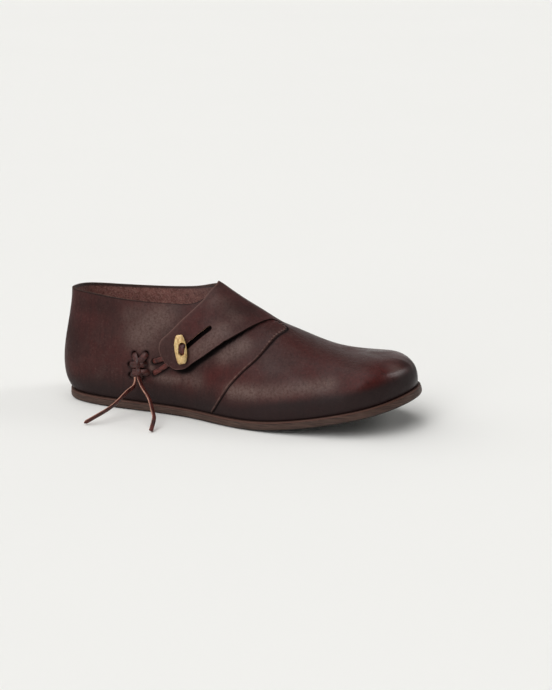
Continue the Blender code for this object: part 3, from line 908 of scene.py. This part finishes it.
def seamLine(count=260):
    places = finerLine(upperPiece["seam"], count)
    line = overSkin(places[:, 0], places[:, 1], 0.0)
    away = skinNormal(places[:, 0], places[:, 1])
    return line, unit(np.cross(away, np.gradient(line, axis=0)))


def makeUpperMesh(holes):
    s = upperPiece
    t = evenStations(s["along"])
    v = np.linspace(0.0, 1.0, s["up"] + 1)
    work = bmesh.new()
    for side in (outer, inner):
        up = rimShare(t, side)[:, None] * v[None, :]
        across = up if side == outer else 2.0 - up
        marks = {"station": np.repeat(t[:, None], len(v), 1), "share": across}
        gridBmesh(work, skinSide(t[:, None], up, side), side == inner, marks=marks)
    bmesh.ops.remove_doubles(work, verts=work.verts, dist=0.00004)
    # finer faces by the seam, the holes and the sharper creases
    line, _ = seamLine()
    creases = np.concatenate([onSkin(places, 12) for places, _, width in s["creases"] if width < 2.0])
    for seamReach, holeReach, creaseReach in s["finer"]:
        centres = toMillimetres([f.calc_center_median() for f in work.faces])
        near = (nearestOn(centres, line[::4])[0] < seamReach) | (nearestOn(centres, holes)[0] < holeReach)
        near |= nearestOn(centres, creases)[0] < creaseReach
        work.faces.ensure_lookup_table()
        edges = {e for k in np.nonzero(near)[0] for e in work.faces[k].edges}
        bmesh.ops.subdivide_edges(work, edges=list(edges), cuts=1, use_grid_fill=True)
    return finishMesh(work, "upperLeather")


# each point's place by the seam: how far, how far to the quarter's side, along it, and the thread's pull
def besideSeam(points):
    s = upperPiece
    line, side = seamLine()
    far, index = nearestOn(points, line)
    along = lengthAlong(line)[index]
    return {
        "far": far,
        "toQuarter": -np.sum((points - line[index]) * side[index], axis=1),
        "along": along,
        "pull": np.sin(2.0 * np.pi * along / s["stitch"]) * smoothStep(along, *s["stitched"]),
        "fade": smoothStep(index, len(line) - 1, len(line) - 20) * smoothStep(index, 0, 14),
        "nearest": line[index],
    }


def shapeUpper(mesh, seam, hole, up):
    s = upperPiece
    coords = coordsOf(mesh)
    points = toMillimetres(coords)
    signed = seam["toQuarter"]
    start, slowly = s["seamFall"]
    step = smoothStep(signed, *s["seamRise"]) * np.exp(-np.maximum(signed - start, 0.0) / slowly)
    step *= 1.0 + s["stitchPull"] * seam["pull"] * bell(signed, *s["pullAt"])
    ridge = (s["seamStep"] * step - s["seamGroove"] * bell(signed, *s["grooveAt"])) * seam["fade"]
    relief = np.where(seam["far"] < s["seamReach"], ridge, 0.0)
    for places, depth, width in s["creases"]:
        gap, at = nearestOn(points, onSkin(places, 40))
        fade = np.sin(np.pi * np.clip((at + 0.5) / 40.0, 0.0, 1.0)) ** 0.8
        relief += depth * bell(gap, 0.0, width) * fade
    relief += leatherWaves(coords) - s["holeDepth"] * hole
    (tuck, tuckUp), (lip, lipUp) = s["tuck"], s["lip"]
    relief -= tuck * np.clip(1.0 - up / tuckUp, 0.0, 1.0) ** 2
    points = points + normalsOf(mesh) * relief[:, None]
    points[:, 2] -= lip * np.clip(1.0 - up / lipUp, 0.0, 1.0)
    moveTo(mesh, toMetres(points))
    return points


def markUpper(mesh, points, seam, hole, up):
    s = upperPiece
    stations, shares = readMark(mesh, "station"), readMark(mesh, "share")
    paintLeather(mesh, points)
    # painted shade and cool floor reflection low on the upper
    shade = s["soleShade"]
    height = points[:, 2] - springAt(points[:, 0])
    fore = smoothStep(stations, *shade["between"])
    low, high = (a + (b - a) * fore for a, b in zip(shade["heel"], shade["toe"]))
    writeMark(mesh, "paintedSoleShade", shade["amount"] * smoothStep((height - low) / (high - low), 1.0, 0.0))
    gap, _ = nearestOn(points, overSkin(*np.array(s["toeWax"]["at"])[:, None], 0.0))
    waxed = {}
    for name in ("polish", "shine"):
        reach, amount = s["toeWax"][name]
        waxed[name] = amount * bell(gap, 0.0, reach)
    polish = sum(amount * smoothStep(stations, start, end) for start, end, amount in s["polish"])
    writeMark(mesh, "polish", polish + waxed["polish"])
    writeMark(mesh, "shine", waxed["shine"])
    # the seam's pale edge: wear and a painted highlight
    paleLook, signed = s["seamPaleEdge"], seam["toQuarter"]
    beside = seam["fade"] * (seam["far"] < 3.0)
    patches = unevenness(seam["nearest"] * 0.001, paleLook["scale"], 8)
    patchy = paleLook["even"] + paleLook["stitch"] * seam["pull"] + paleLook["patchy"] * patches
    paleLine = bell(signed, *paleLook["at"]) * beside * np.clip(patchy, 0.1, 1.0)
    writeMark(mesh, "paleEdgeWearAndHighlight", paleLook["amount"] * paleLine)
    writeMark(mesh, "darkEdge", np.full(len(points), s["edgeDark"]))
    # painted shade: the shadow beside the quarter's edge, in the holes and at the foot; and the dark rim
    line, foot = s["seamDark"], s["footDark"]
    wide = line["width"] + line["wider"] * smoothStep(seam["along"], *line["between"])
    dark = np.maximum(bell(signed, -wide, wide) * beside, hole)
    amount = foot["amount"] - foot["less"] * smoothStep(stations, *foot["between"])
    dark = np.maximum(dark, smoothStep(up, *foot["up"]) * amount)
    rims = np.where(shares <= 1.0, rimShare(stations, outer), 1.0)
    toRim = np.where(stations < throat, up / rims, 0.0)
    rim = {}
    for name in ("rimInside", "rimOutside"):
        start, end, amount = s[name]
        rim[name] = smoothStep(toRim, start, end) * amount
    writeMark(mesh, "rim", rim["rimInside"])
    writeMark(mesh, "paintedShadeAndDarkRim", np.maximum(dark, rim["rimOutside"]))


def makeUpper():
    s = upperPiece
    holes = overSkin(*np.array(s["holes"]).T, 0.0)
    mesh = makeUpperMesh(holes)
    points, shares = toMillimetres(coordsOf(mesh)), readMark(mesh, "share")
    seam = besideSeam(points)
    hole = bell(nearestOn(points, holes)[0], 0.0, s["holeRadius"], 6)
    up = np.minimum(shares, 2.0 - shares)  # share up from the sole, on either side
    points = shapeUpper(mesh, seam, hole, up)
    markUpper(mesh, points, seam, hole, up)
    piece = addPiece("upperLeather", mesh, upperGrain, fleshSide, cutEdge)
    addWall(piece, s["wall"], -1.0, 1, 2)
    roundEdges(piece, s["edgeRound"], 2, 62.0)
    applyModifiers(piece)
    shadeSmooth(piece, 50.0)
    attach(piece, "root")
    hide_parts("upper", "side_seam")
    print("upper made,", len(piece.data.polygons), "faces")
    return piece


upper = makeUpper()

# strap: the flap from the instep over the outer side, with its slit

strapPiece = {
    "thick": 2.0,
    "steps": 11,
    "across": 40,
    "edgeRound": 0.35,
    "slit": (34.0, 4.2, 30.0),  # length, width, depth of the cut
    "slitStart": (4.17, 0.460),
    "slitEnd": (5.40, 0.610),
    "lowest": 0.3,         # lift off the upper where it lies flat
    "thinnest": 0.25,
    "sunk": 0.5,           # under the upper where it is skived
    "overhang": 2.4,       # past the collar's rim at the peak
    "peakRow": (11.3, 1.6),  # its middle and reach
    # pale edge, partly wear and partly a painted highlight: width, amount at the back edge, along the low
    # edge, and more of it at the tip
    "paleEdgeWidth": 0.7,
    "paleEdgeBack": 0.55,
    "paleEdgeLow": (0.12, 0.4),
    # between these rows: skived to nothing, no longer pale at the edge, out to the tip
    "skived": (13.8, 17.0),
    "paleEdgeStops": (10.5, 12.0),
    "tip": (2.6, 1.2),
    # low edge t, w, back edge t, w, lift of the low edge, of the back edge, share of the thickness at each
    "rows": [
        (3.65, 0.386, 3.65, 0.386, 3.1, 3.1, 1, 1), (3.90, 0.335, 3.545, 0.463, 3.1, 2.9, 1, 1),
        (4.11, 0.327, 3.55, 0.525, 3.1, 2.7, 1, 1), (4.34, 0.338, 3.635, 0.580, 3.1, 2.5, 1, 1),
        (4.60, 0.371, 3.795, 0.617, 3.1, 2.2, 1, 1), (4.93, 0.403, 4.02, 0.665, 2.9, 1.8, 1, 1),
        (5.30, 0.437, 4.31, 0.722, 2.8, 1.3, 1, 1), (5.68, 0.473, 4.62, 0.769, 2.7, 0.9, 1, 1),
        (6.03, 0.512, 4.94, 0.815, 2.5, 0.6, 1, 1), (6.32, 0.574, 5.24, 0.866, 2.1, 0.4, 1, 1),
        (6.60, 0.648, 5.55, 0.930, 1.5, 0.3, 1, 1), (6.88, 0.733, 6.00, 1.000, 0.9, 0.3, 1, 1),
        (7.15, 0.818, 6.00, 1.080, 0.5, 0.3, 0.9, 1), (7.40, 0.902, 6.00, 1.160, 0.3, 0.3, 0.7, 1),
        (7.62, 0.970, 6.00, 1.260, 0.3, 0.3, 0.4, 1), (7.82, 1.010, 6.00, 1.380, 0.3, 0.3, 0.2, 1),
        (8.00, 1.050, 6.00, 1.500, 0.3, 0.3, 0.1, 1), (8.15, 1.110, 6.00, 1.620, 0.3, 0.3, 0.05, 1),
    ],
    "shadeEdge": (1.25, 0.55),
    # how far the painted shadow under the low edge reaches, at each row
    "shade": [1.6, 3.4, 4.6, 4.6, 4.0, 3.4, 3.2, 3.2, 2.9, 2.4, 1.8, 1.1, 0.7],
}


# box whose long ends are round, for slits and slots
def makeCutter(name, length, width, depth, place, alongIt, away):
    work = bmesh.new()
    turns = np.linspace(-0.5 * math.pi, 0.5 * math.pi, 9)
    half, radius = 0.5 * (length - width), 0.5 * width
    rim = [(half + radius * math.cos(a), radius * math.sin(a)) for a in turns]
    rim += [(-half - radius * math.cos(a), -radius * math.sin(a)) for a in turns]
    low = [work.verts.new((0.001 * x, 0.001 * y, -0.0005 * depth)) for x, y in rim]
    high = [work.verts.new((0.001 * x, 0.001 * y, 0.0005 * depth)) for x, y in rim]
    work.faces.new(low[::-1])
    work.faces.new(high)
    for k in range(len(rim)):
        n = (k + 1) % len(rim)
        work.faces.new((low[k], low[n], high[n], high[k]))
    cutter = addPiece(name, meshFrom(work, name))
    z = Vector(away).normalized()
    x = Vector(alongIt)
    x = (x - z * x.dot(z)).normalized()
    turn = Matrix((x, z.cross(x), z)).transposed().to_4x4()
    cutter.matrix_world = Matrix.Translation(Vector(toMetres(place))) @ turn
    return cutter


def cutAway(piece, cutter):
    cut = piece.modifiers.new("cut", "BOOLEAN")
    cut.solver = "EXACT"
    cut.operation = "DIFFERENCE"
    cut.object = cutter
    bpy.context.view_layer.update()
    applyModifiers(piece)
    bpy.data.objects.remove(cutter)


def makeStrap():
    s = strapPiece
    rows = np.array(s["rows"])
    run = np.linspace(0.0, len(rows) - 1.0, (len(rows) - 1) * s["steps"] + 1)
    row = curveThrough(rows, run)
    part = np.linspace(0.0, 1.0, s["across"] + 1)[None, :]
    t = row[:, :1] * (1.0 - part) + row[:, 2:3] * part
    w = row[:, 1:2] * (1.0 - part) + row[:, 3:4] * part
    lift = np.maximum(row[:, 4:5] * (1.0 - part) + row[:, 5:6] * part, s["lowest"])
    rise = smoothStep(part, 0.0, 0.35)
    share = np.clip(row[:, 6:7] * (1.0 - rise) + row[:, 7:8] * rise, 0.0, 1.0)
    skive = smoothStep(run, *s["skived"])[:, None]
    top = (lift + s["thick"] * share) * (1.0 - skive) - s["sunk"] * skive
    lift = np.minimum(lift, top - s["thinnest"])
    grid = overSkin(t, w, lift)
    past = smoothStep(part, 0.55, 1.0) * bell(run, *s["peakRow"])[:, None]
    grid += s["overhang"] * past[..., None] * unit(ridgeLine[0] - ridgeLine[1])
    fromEdges = (np.linalg.norm(grid - grid[:, [k]], axis=-1) for k in (0, -1))
    low, back = (bell(far, 0.0, s["paleEdgeWidth"]) for far in fromEdges)
    visible = 1.0 - smoothStep(run, *s["paleEdgeStops"])[:, None]
    tip = smoothStep(run, *s["tip"])[:, None]
    allAlong, atTip = s["paleEdgeLow"]
    # the pale edge, wear with a painted highlight
    edge = np.maximum(back * s["paleEdgeBack"], low * (allAlong + atTip * tip))
    work = bmesh.new()
    gridBmesh(work, grid, marks={
        "full": np.clip((top - lift) / s["thick"], 0.05, 1.0),
        "paleEdgeWearAndHighlight": edge * visible,
        # the low edge's cut face dark, dye and painted shade where it faces down; pale at the tip and the
        # back edge
        "darkEdge": smoothStep(part, 0.6, 0.4) * (1.0 - tip),
    })
    mesh = finishMesh(work, "strapLeather", 0.00003)
    coords = coordsOf(mesh)
    moveTo(mesh, coords + normalsOf(mesh) * (0.001 * leatherWaves(coords))[:, None])
    paintLeather(mesh, toMillimetres(coords))
    piece = addPiece("strapLeather", mesh, upperGrain, fleshSide, cutEdge)
    group = piece.vertex_groups.new(name="full")
    for number, value in enumerate(readMark(mesh, "full")):
        group.add([number], float(value), "REPLACE")
    addWall(piece, s["thick"], 1.0, 1, 2, "full")
    applyModifiers(piece)
    start, end = overSkin(*s["slitStart"], 3.0), overSkin(*s["slitEnd"], 3.0)
    middle = [0.5 * (a + b) for a, b in zip(s["slitStart"], s["slitEnd"])]
    cutter = makeCutter("slitCutter", *s["slit"], 0.5 * (start + end), end - start, skinNormal(*middle))
    cutter.data.materials.append(cutEdge)
    cutAway(piece, cutter)
    roundEdges(piece, s["edgeRound"], 2, 50.0)
    applyModifiers(piece)
    shadeSmooth(piece, 45.0)
    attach(piece, "root")
    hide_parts("wrap_strap")
    print("strap made,", len(piece.data.polygons), "faces")


makeStrap()

# toggle, carved from pale horn, with its slot

togglePiece = {
    "at": (4.31, 0.486),
    "top": (4.295, 0.600),
    "foot": (4.335, 0.374),
    "height": 8.2,
    "edgeRound": 0.28,
    "slot": (10.0, 5.0, 14.0),  # length, width, depth of the cut
    "slotShift": -1.8,
    "slotTurn": -12.0,
    # along the toggle, half width, half depth, sideways
    "sections": [
        (-11.0, 2.5, 1.0, 0.3), (-9.9, 3.6, 2.0, 0.2), (-5.6, 4.8, 2.7, 0.0), (-1.0, 5.2, 2.9, -0.1),
        (4.2, 5.0, 2.8, 0.0), (8.2, 3.9, 2.3, 0.0), (10.4, 2.9, 1.5, -0.1), (11.0, 2.0, 0.9, -0.1),
    ],
    "knifeSlip": 0.025,
    "squareness": (0.75, 0.80),
    # the knife's flats round the section: degrees, share of the radius
    "flats": [
        (4, 1.0), (38, 0.93), (72, 1.02), (108, 1.03), (140, 0.95), (176, 1.0), (214, 0.95), (250, 1.0),
        (292, 1.0), (330, 0.95),
    ],
}


def makeToggleHorn():
    finish = Finish("toggleHorn")
    fibre = finish.noise(1.0, 5.0, 0.65, finish.stretched((520, 520, 130), (0.2, -0.15, 0.0)))
    blotch = finish.noise(260.0, 4.0, 0.6)
    colour = finish.mottled(fibre, (0.500, 0.300, 0.108), (0.800, 0.590, 0.280), 0.3, 0.72)
    colour = finish.tint(colour, blotch, 0.47, 0.70, 0.8, (0.330, 0.165, 0.050))
    normal = finish.bump(fibre, 0.0004, 0.45)
    roughness = finish.dullness(blotch, 0.38, 0.55)
    depth = {"Subsurface Weight": 0.12, "Subsurface Radius": (0.004, 0.002, 0.001), "Subsurface Scale": 0.3}
    return finish.close(colour, roughness, normal, **depth)


toggleHorn = makeToggleHorn()


def toggleAxes():
    s = togglePiece
    centre = overSkin(*s["at"], s["height"])
    away = skinNormal(*s["at"])
    length = overSkin(*s["top"], s["height"]) - overSkin(*s["foot"], s["height"])
    length = unit(length - away * np.dot(length, away))
    return centre, length, np.cross(away, length), away


def makeToggle():
    s = togglePiece
    centre, length, side, away = toggleAxes()
    turn = np.radians([f[0] for f in s["flats"]])
    reach = np.array([f[1] for f in s["flats"]])
    rings = []
    for number, (place, half, deep, shift) in enumerate(s["sections"]):
        cut = reach * (1.0 + s["knifeSlip"] * np.sin(3.0 * turn + 2.1 * number))
        wide, high = (np.sign(a) * np.abs(a) ** power
                      for a, power in zip((np.cos(turn), np.sin(turn)), s["squareness"]))
        wide = wide * half * cut + shift
        high = high * deep * cut
        rings.append(centre + length * place + side * wide[:, None] + away * high[:, None])
    work = bmesh.new()
    made, _ = gridBmesh(work, np.array(rings), loopAcross=True)
    work.faces.new(made[0])
    work.faces.new(made[-1])
    bmesh.ops.recalc_face_normals(work, faces=work.faces)
    piece = addPiece("toggleHorn", meshFrom(work, "toggleHorn"), toggleHorn)
    lean = math.radians(s["slotTurn"])
    slotAlong = length * math.cos(lean) + side * math.sin(lean)
    cutter = makeCutter("toggleSlotCutter", *s["slot"], centre + side * s["slotShift"], slotAlong, away)
    cutAway(piece, cutter)
    roundEdges(piece, s["edgeRound"], 2, 9.0)
    applyModifiers(piece)
    shadeSmooth(piece, 30.0)
    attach(piece, "root")
    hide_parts("toggle")


makeToggle()
print("toggle carved")

# thong loop that holds the toggle, and the knot behind it

loopPiece = {
    "holes": [(3.28, 0.390), (3.24, 0.285)],
    "legWidth": 3.7,
    "legSteps": [(-0.022, 0.10, 14), (0.13, 0.80, 24)],
    # how far a leg sinks into its hole and under the strap, and between which places
    "holeSink": (1.6, -0.03, 0.07),
    "strapSink": (0.2, 0.4, 0.8),
    "thick": 1.5,
    "height": 1.8,
    "barWidth": 4.7,
    "barReach": 4.3,       # half its length in the slot
    "barHigh": 1.9,        # over the middle of the toggle
    "barDip": 3.6,         # down to its ends
    "stemWidth": 2.2,
    "stemThick": 1.6,
    "stemHeights": (1.2, -3.5, 0.6),  # over the leather, then twice from the middle of the toggle
    "shade": (0.85, 2.7),  # painted shade beside it on the upper: amount, reach
    "shadeLeg": (-0.02, 0.5),
    "shadeDrop": 0.012,
}


# places along a leg: from its hole at 0 to the toggle at 1
def legPlaces(hole, part):
    return [a + (b - a) * part for a, b in zip(hole, togglePiece["at"])]


def joinPieces(name, meshes, *finishes):
    work = bmesh.new()
    for mesh in meshes:
        work.from_mesh(mesh)
        bpy.data.meshes.remove(mesh)
    return addPiece(name, meshFrom(work, name), *finishes)


def makeLoop():
    s = loopPiece
    meshes = []
    for hole in s["holes"]:
        part = np.concatenate([np.linspace(*steps) for steps in s["legSteps"]])
        t, w = legPlaces(hole, part)
        (deep, *hidden), (low, *under) = s["holeSink"], s["strapSink"]
        sunk = deep * (1.0 - smoothStep(part, *hidden)) + low * smoothStep(part, *under)
        line = overSkin(t, w, s["height"] - sunk)
        meshes.append(makeStrip("leg", line, skinNormal(t, w), s["legWidth"], s["thick"], crown=1.5))
    centre, length, side, away = toggleAxes()
    part = np.linspace(-1.0, 1.0, 31)
    along = s["barReach"] * part
    across = togglePiece["slotShift"] + along * math.tan(math.radians(togglePiece["slotTurn"]))
    high = s["barHigh"] - s["barDip"] * np.abs(part) ** 3.0
    line = centre + length * along[:, None] + side * across[:, None] + away * high[:, None]
    facing = np.repeat(away[None, :], len(line), 0)
    meshes.append(makeStrip("bar", line, facing, s["barWidth"], s["thick"], crown=1.6))
    root, low, high = s["stemHeights"]
    line = finerLine([overSkin(*togglePiece["at"], root), centre + away * low, centre + away * high], 12)
    facing = np.repeat(side[None, :], len(line), 0)
    meshes.append(makeStrip("stem", line, facing, s["stemWidth"], s["stemThick"]))
    piece = joinPieces("thongLoop", meshes, thongGrain, thongShade, thongFlesh)
    shadeSmooth(piece, 50.0)
    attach(piece, "root")
    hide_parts("toggle_loop")


makeLoop()

knotPiece = {
    "thick": 1.7,
    "crown": 1.9,
    "shade": (0.8, 3.5),   # painted shade beside it on the upper: amount, reach
    # width, then places with height over the leather, along each turn of the thong
    "turns": [
        (5.1, [
            (2.81, 0.434, -0.8), (2.83, 0.422, 0.7), (2.855, 0.402, 1.4), (2.88, 0.380, 1.6),
            (2.90, 0.355, 1.4),
        ]),
        (5.1, [
            (3.105, 0.448, -0.8), (3.08, 0.436, 0.7), (3.03, 0.413, 1.5), (2.97, 0.389, 1.9),
            (2.93, 0.362, 1.6),
        ]),
        (5.1, [
            (2.695, 0.335, -0.8), (2.73, 0.338, 0.7), (2.80, 0.343, 1.7), (2.88, 0.349, 2.2),
            (2.98, 0.354, 1.7), (3.03, 0.356, 0.5), (3.06, 0.357, -0.8),
        ]),
        (4.4, [
            (2.675, 0.238, -0.8), (2.71, 0.243, 0.7), (2.76, 0.250, 1.2), (2.82, 0.258, 1.5),
            (2.87, 0.266, 1.5),
        ]),
        (5.2, [
            (2.74, 0.275, 0.2), (2.79, 0.277, 1.2), (2.87, 0.279, 2.1), (2.95, 0.281, 2.1),
            (3.02, 0.282, 1.3), (3.06, 0.282, 0.3), (3.08, 0.282, -0.8),
        ]),
        (4.4, [(2.885, 0.394, 1.6), (2.89, 0.372, 3.0), (2.89, 0.346, 3.5), (2.89, 0.322, 2.6)]),
        (4.4, [(2.89, 0.306, 2.4), (2.89, 0.286, 3.3), (2.895, 0.260, 3.1), (2.90, 0.234, 1.6)]),
    ],
}


def makeKnot():
    s = knotPiece
    meshes = []
    for width, turn in s["turns"]:
        path = finerLine(turn, 44)
        line = overSkin(path[:, 0], path[:, 1], path[:, 2])
        away = skinNormal(path[:, 0], path[:, 1])
        meshes.append(makeStrip("turn", line, away, width, s["thick"], False, False, s["crown"]))
    piece = joinPieces("thongKnot", meshes, knotGrain, thongShade, thongFlesh)
    shadeSmooth(piece, 50.0)
    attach(piece, "root")
    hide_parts("thong_knot")
    return piece


knot = makeKnot()


# painted shadow under the strap's low edge and painted shade beside the knot and the loop's legs
def darkenUpper():
    mesh = upper.data
    t, w = readMark(mesh, "station"), readMark(mesh, "share")
    points, dark = toMillimetres(coordsOf(mesh)), readMark(mesh, "paintedShadeAndDarkRim")
    run = np.linspace(0.0, len(strapPiece["shade"]) - 1.0, 301)
    row = curveThrough(np.array(strapPiece["rows"]), run)
    outline = np.concatenate([row[:, 0:2], row[::-1, 2:4]])
    under = np.zeros(len(t), bool)
    for (t1, w1), (t2, w2) in zip(outline, np.roll(outline, -1, axis=0)):
        if w1 != w2:
            under ^= ((w1 > w) != (w2 > w)) & (t < (t2 - t1) * (w - w1) / (w2 - w1) + t1)
    gap, at = nearestOn(points, overSkin(row[:, 0], row[:, 1], 0.0))
    reach = np.interp(run, np.arange(len(strapPiece["shade"])), strapPiece["shade"])[at]
    edge = [share * reach for share in strapPiece["shadeEdge"]]
    dark = np.maximum(dark, np.where(under, 1.0, smoothStep(gap, *edge)))
    amount, reach = knotPiece["shade"]
    for _, turn in knotPiece["turns"]:
        gap, _ = nearestOn(points, onSkin(turn, 24))
        dark = np.maximum(dark, amount * bell(gap, 0.0, reach, 4))
    amount, reach = loopPiece["shade"]
    for hole in loopPiece["holes"]:
        legT, legW = legPlaces(hole, np.linspace(*loopPiece["shadeLeg"], 30))
        gap, _ = nearestOn(points, overSkin(legT, legW - loopPiece["shadeDrop"], 0.0))
        dark = np.maximum(dark, amount * bell(gap, 0.0, reach, 4))
    writeMark(mesh, "paintedShadeAndDarkRim", dark)


darkenUpper()

# floor, sky and lights

stageSetup = {
    "floorColour": (0.875, 0.87, 0.845),
    "floorHalf": 9.0,
    "floorCloud": 0.985,
    # sky: bright low down at the back, dimmer above, dark in front
    "skyColour": (1.0, 0.995, 0.975),
    "back": 0.74,
    "above": 0.20,
    "front": 0.02,
    "backSide": (-0.35, 0.93, 0.0),
    "rise": (0.15, 0.55),
    "turn": (-0.55, 0.45),
    "key": {"energy": 1.0, "angle": 36.0, "aim": (0.12, 0.72, -0.66)},
    "low": {"energy": 0.40, "angle": 24.0, "aim": (0.27, 0.94, -0.20)},
    "left": {"energy": 1.15, "angle": 80.0, "aim": (0.62, 0.02, -0.78)},
    "overhead": {"energy": 0.86, "angle": 60.0, "aim": (0.06, 0.16, -0.98)},
    "toe": {"energy": 0.40, "angle": 22.0, "aim": (-0.68, -0.476, -0.558)},
}


def makeFloor():
    mesh = bpy.data.meshes.new("paleFloor")
    far = stageSetup["floorHalf"]
    mesh.from_pydata([(-far, -far, 0), (far, -far, 0), (far, far, 0), (-far, far, 0)], [], [(0, 1, 2, 3)])
    finish = Finish("paleFloor")
    cloud = finish.noise(3.0, 2.0)
    low = tuple(stageSetup["floorCloud"] * c for c in stageSetup["floorColour"])
    colour = finish.blendColour(cloud, low, stageSetup["floorColour"])
    finish.link(colour, finish.shader.inputs["Base Color"])
    finish.shader.inputs["Roughness"].default_value = 0.9
    finish.shader.inputs["Specular IOR Level"].default_value = 0.1
    addPiece("paleFloor", mesh, finish.material)


def makeSky():
    s = stageSetup
    sky = bpy.data.worlds.new("studio")
    sky.use_nodes = True
    nodes = Nodes(sky.node_tree)
    place = nodes.node("ShaderNodeTexCoord").outputs["Generated"]
    high = nodes.node("ShaderNodeSeparateXYZ", {0: place}).outputs["Z"]
    behind = nodes.node("ShaderNodeVectorMath", {0: place, 1: s["backSide"]}, operation="DOT_PRODUCT")
    upward = nodes.spread(high, *s["rise"], s["back"], s["above"])
    strength = nodes.spread(behind.outputs["Value"], *s["turn"], s["front"], upward)
    shade = sky.node_tree.nodes["Background"]
    nodes.link(strength, shade.inputs["Strength"])
    shade.inputs["Color"].default_value = (*s["skyColour"], 1.0)
    scene.world = sky


def addSun(name, energy, angle, aim):
    data = bpy.data.lights.new(name, "SUN")
    data.energy = energy
    data.angle = math.radians(angle)
    lamp = bpy.data.objects.new(name, data)
    lamp.rotation_euler = Vector(aim).to_track_quat("-Z", "Y").to_euler()
    scene.collection.objects.link(lamp)


makeFloor()
makeSky()
for name in ("key", "low", "left", "overhead", "toe"):
    addSun(name + "Light", **stageSetup[name])
scene.view_settings.view_transform = "Standard"
scene.view_settings.look = "None"
print("stage lit")
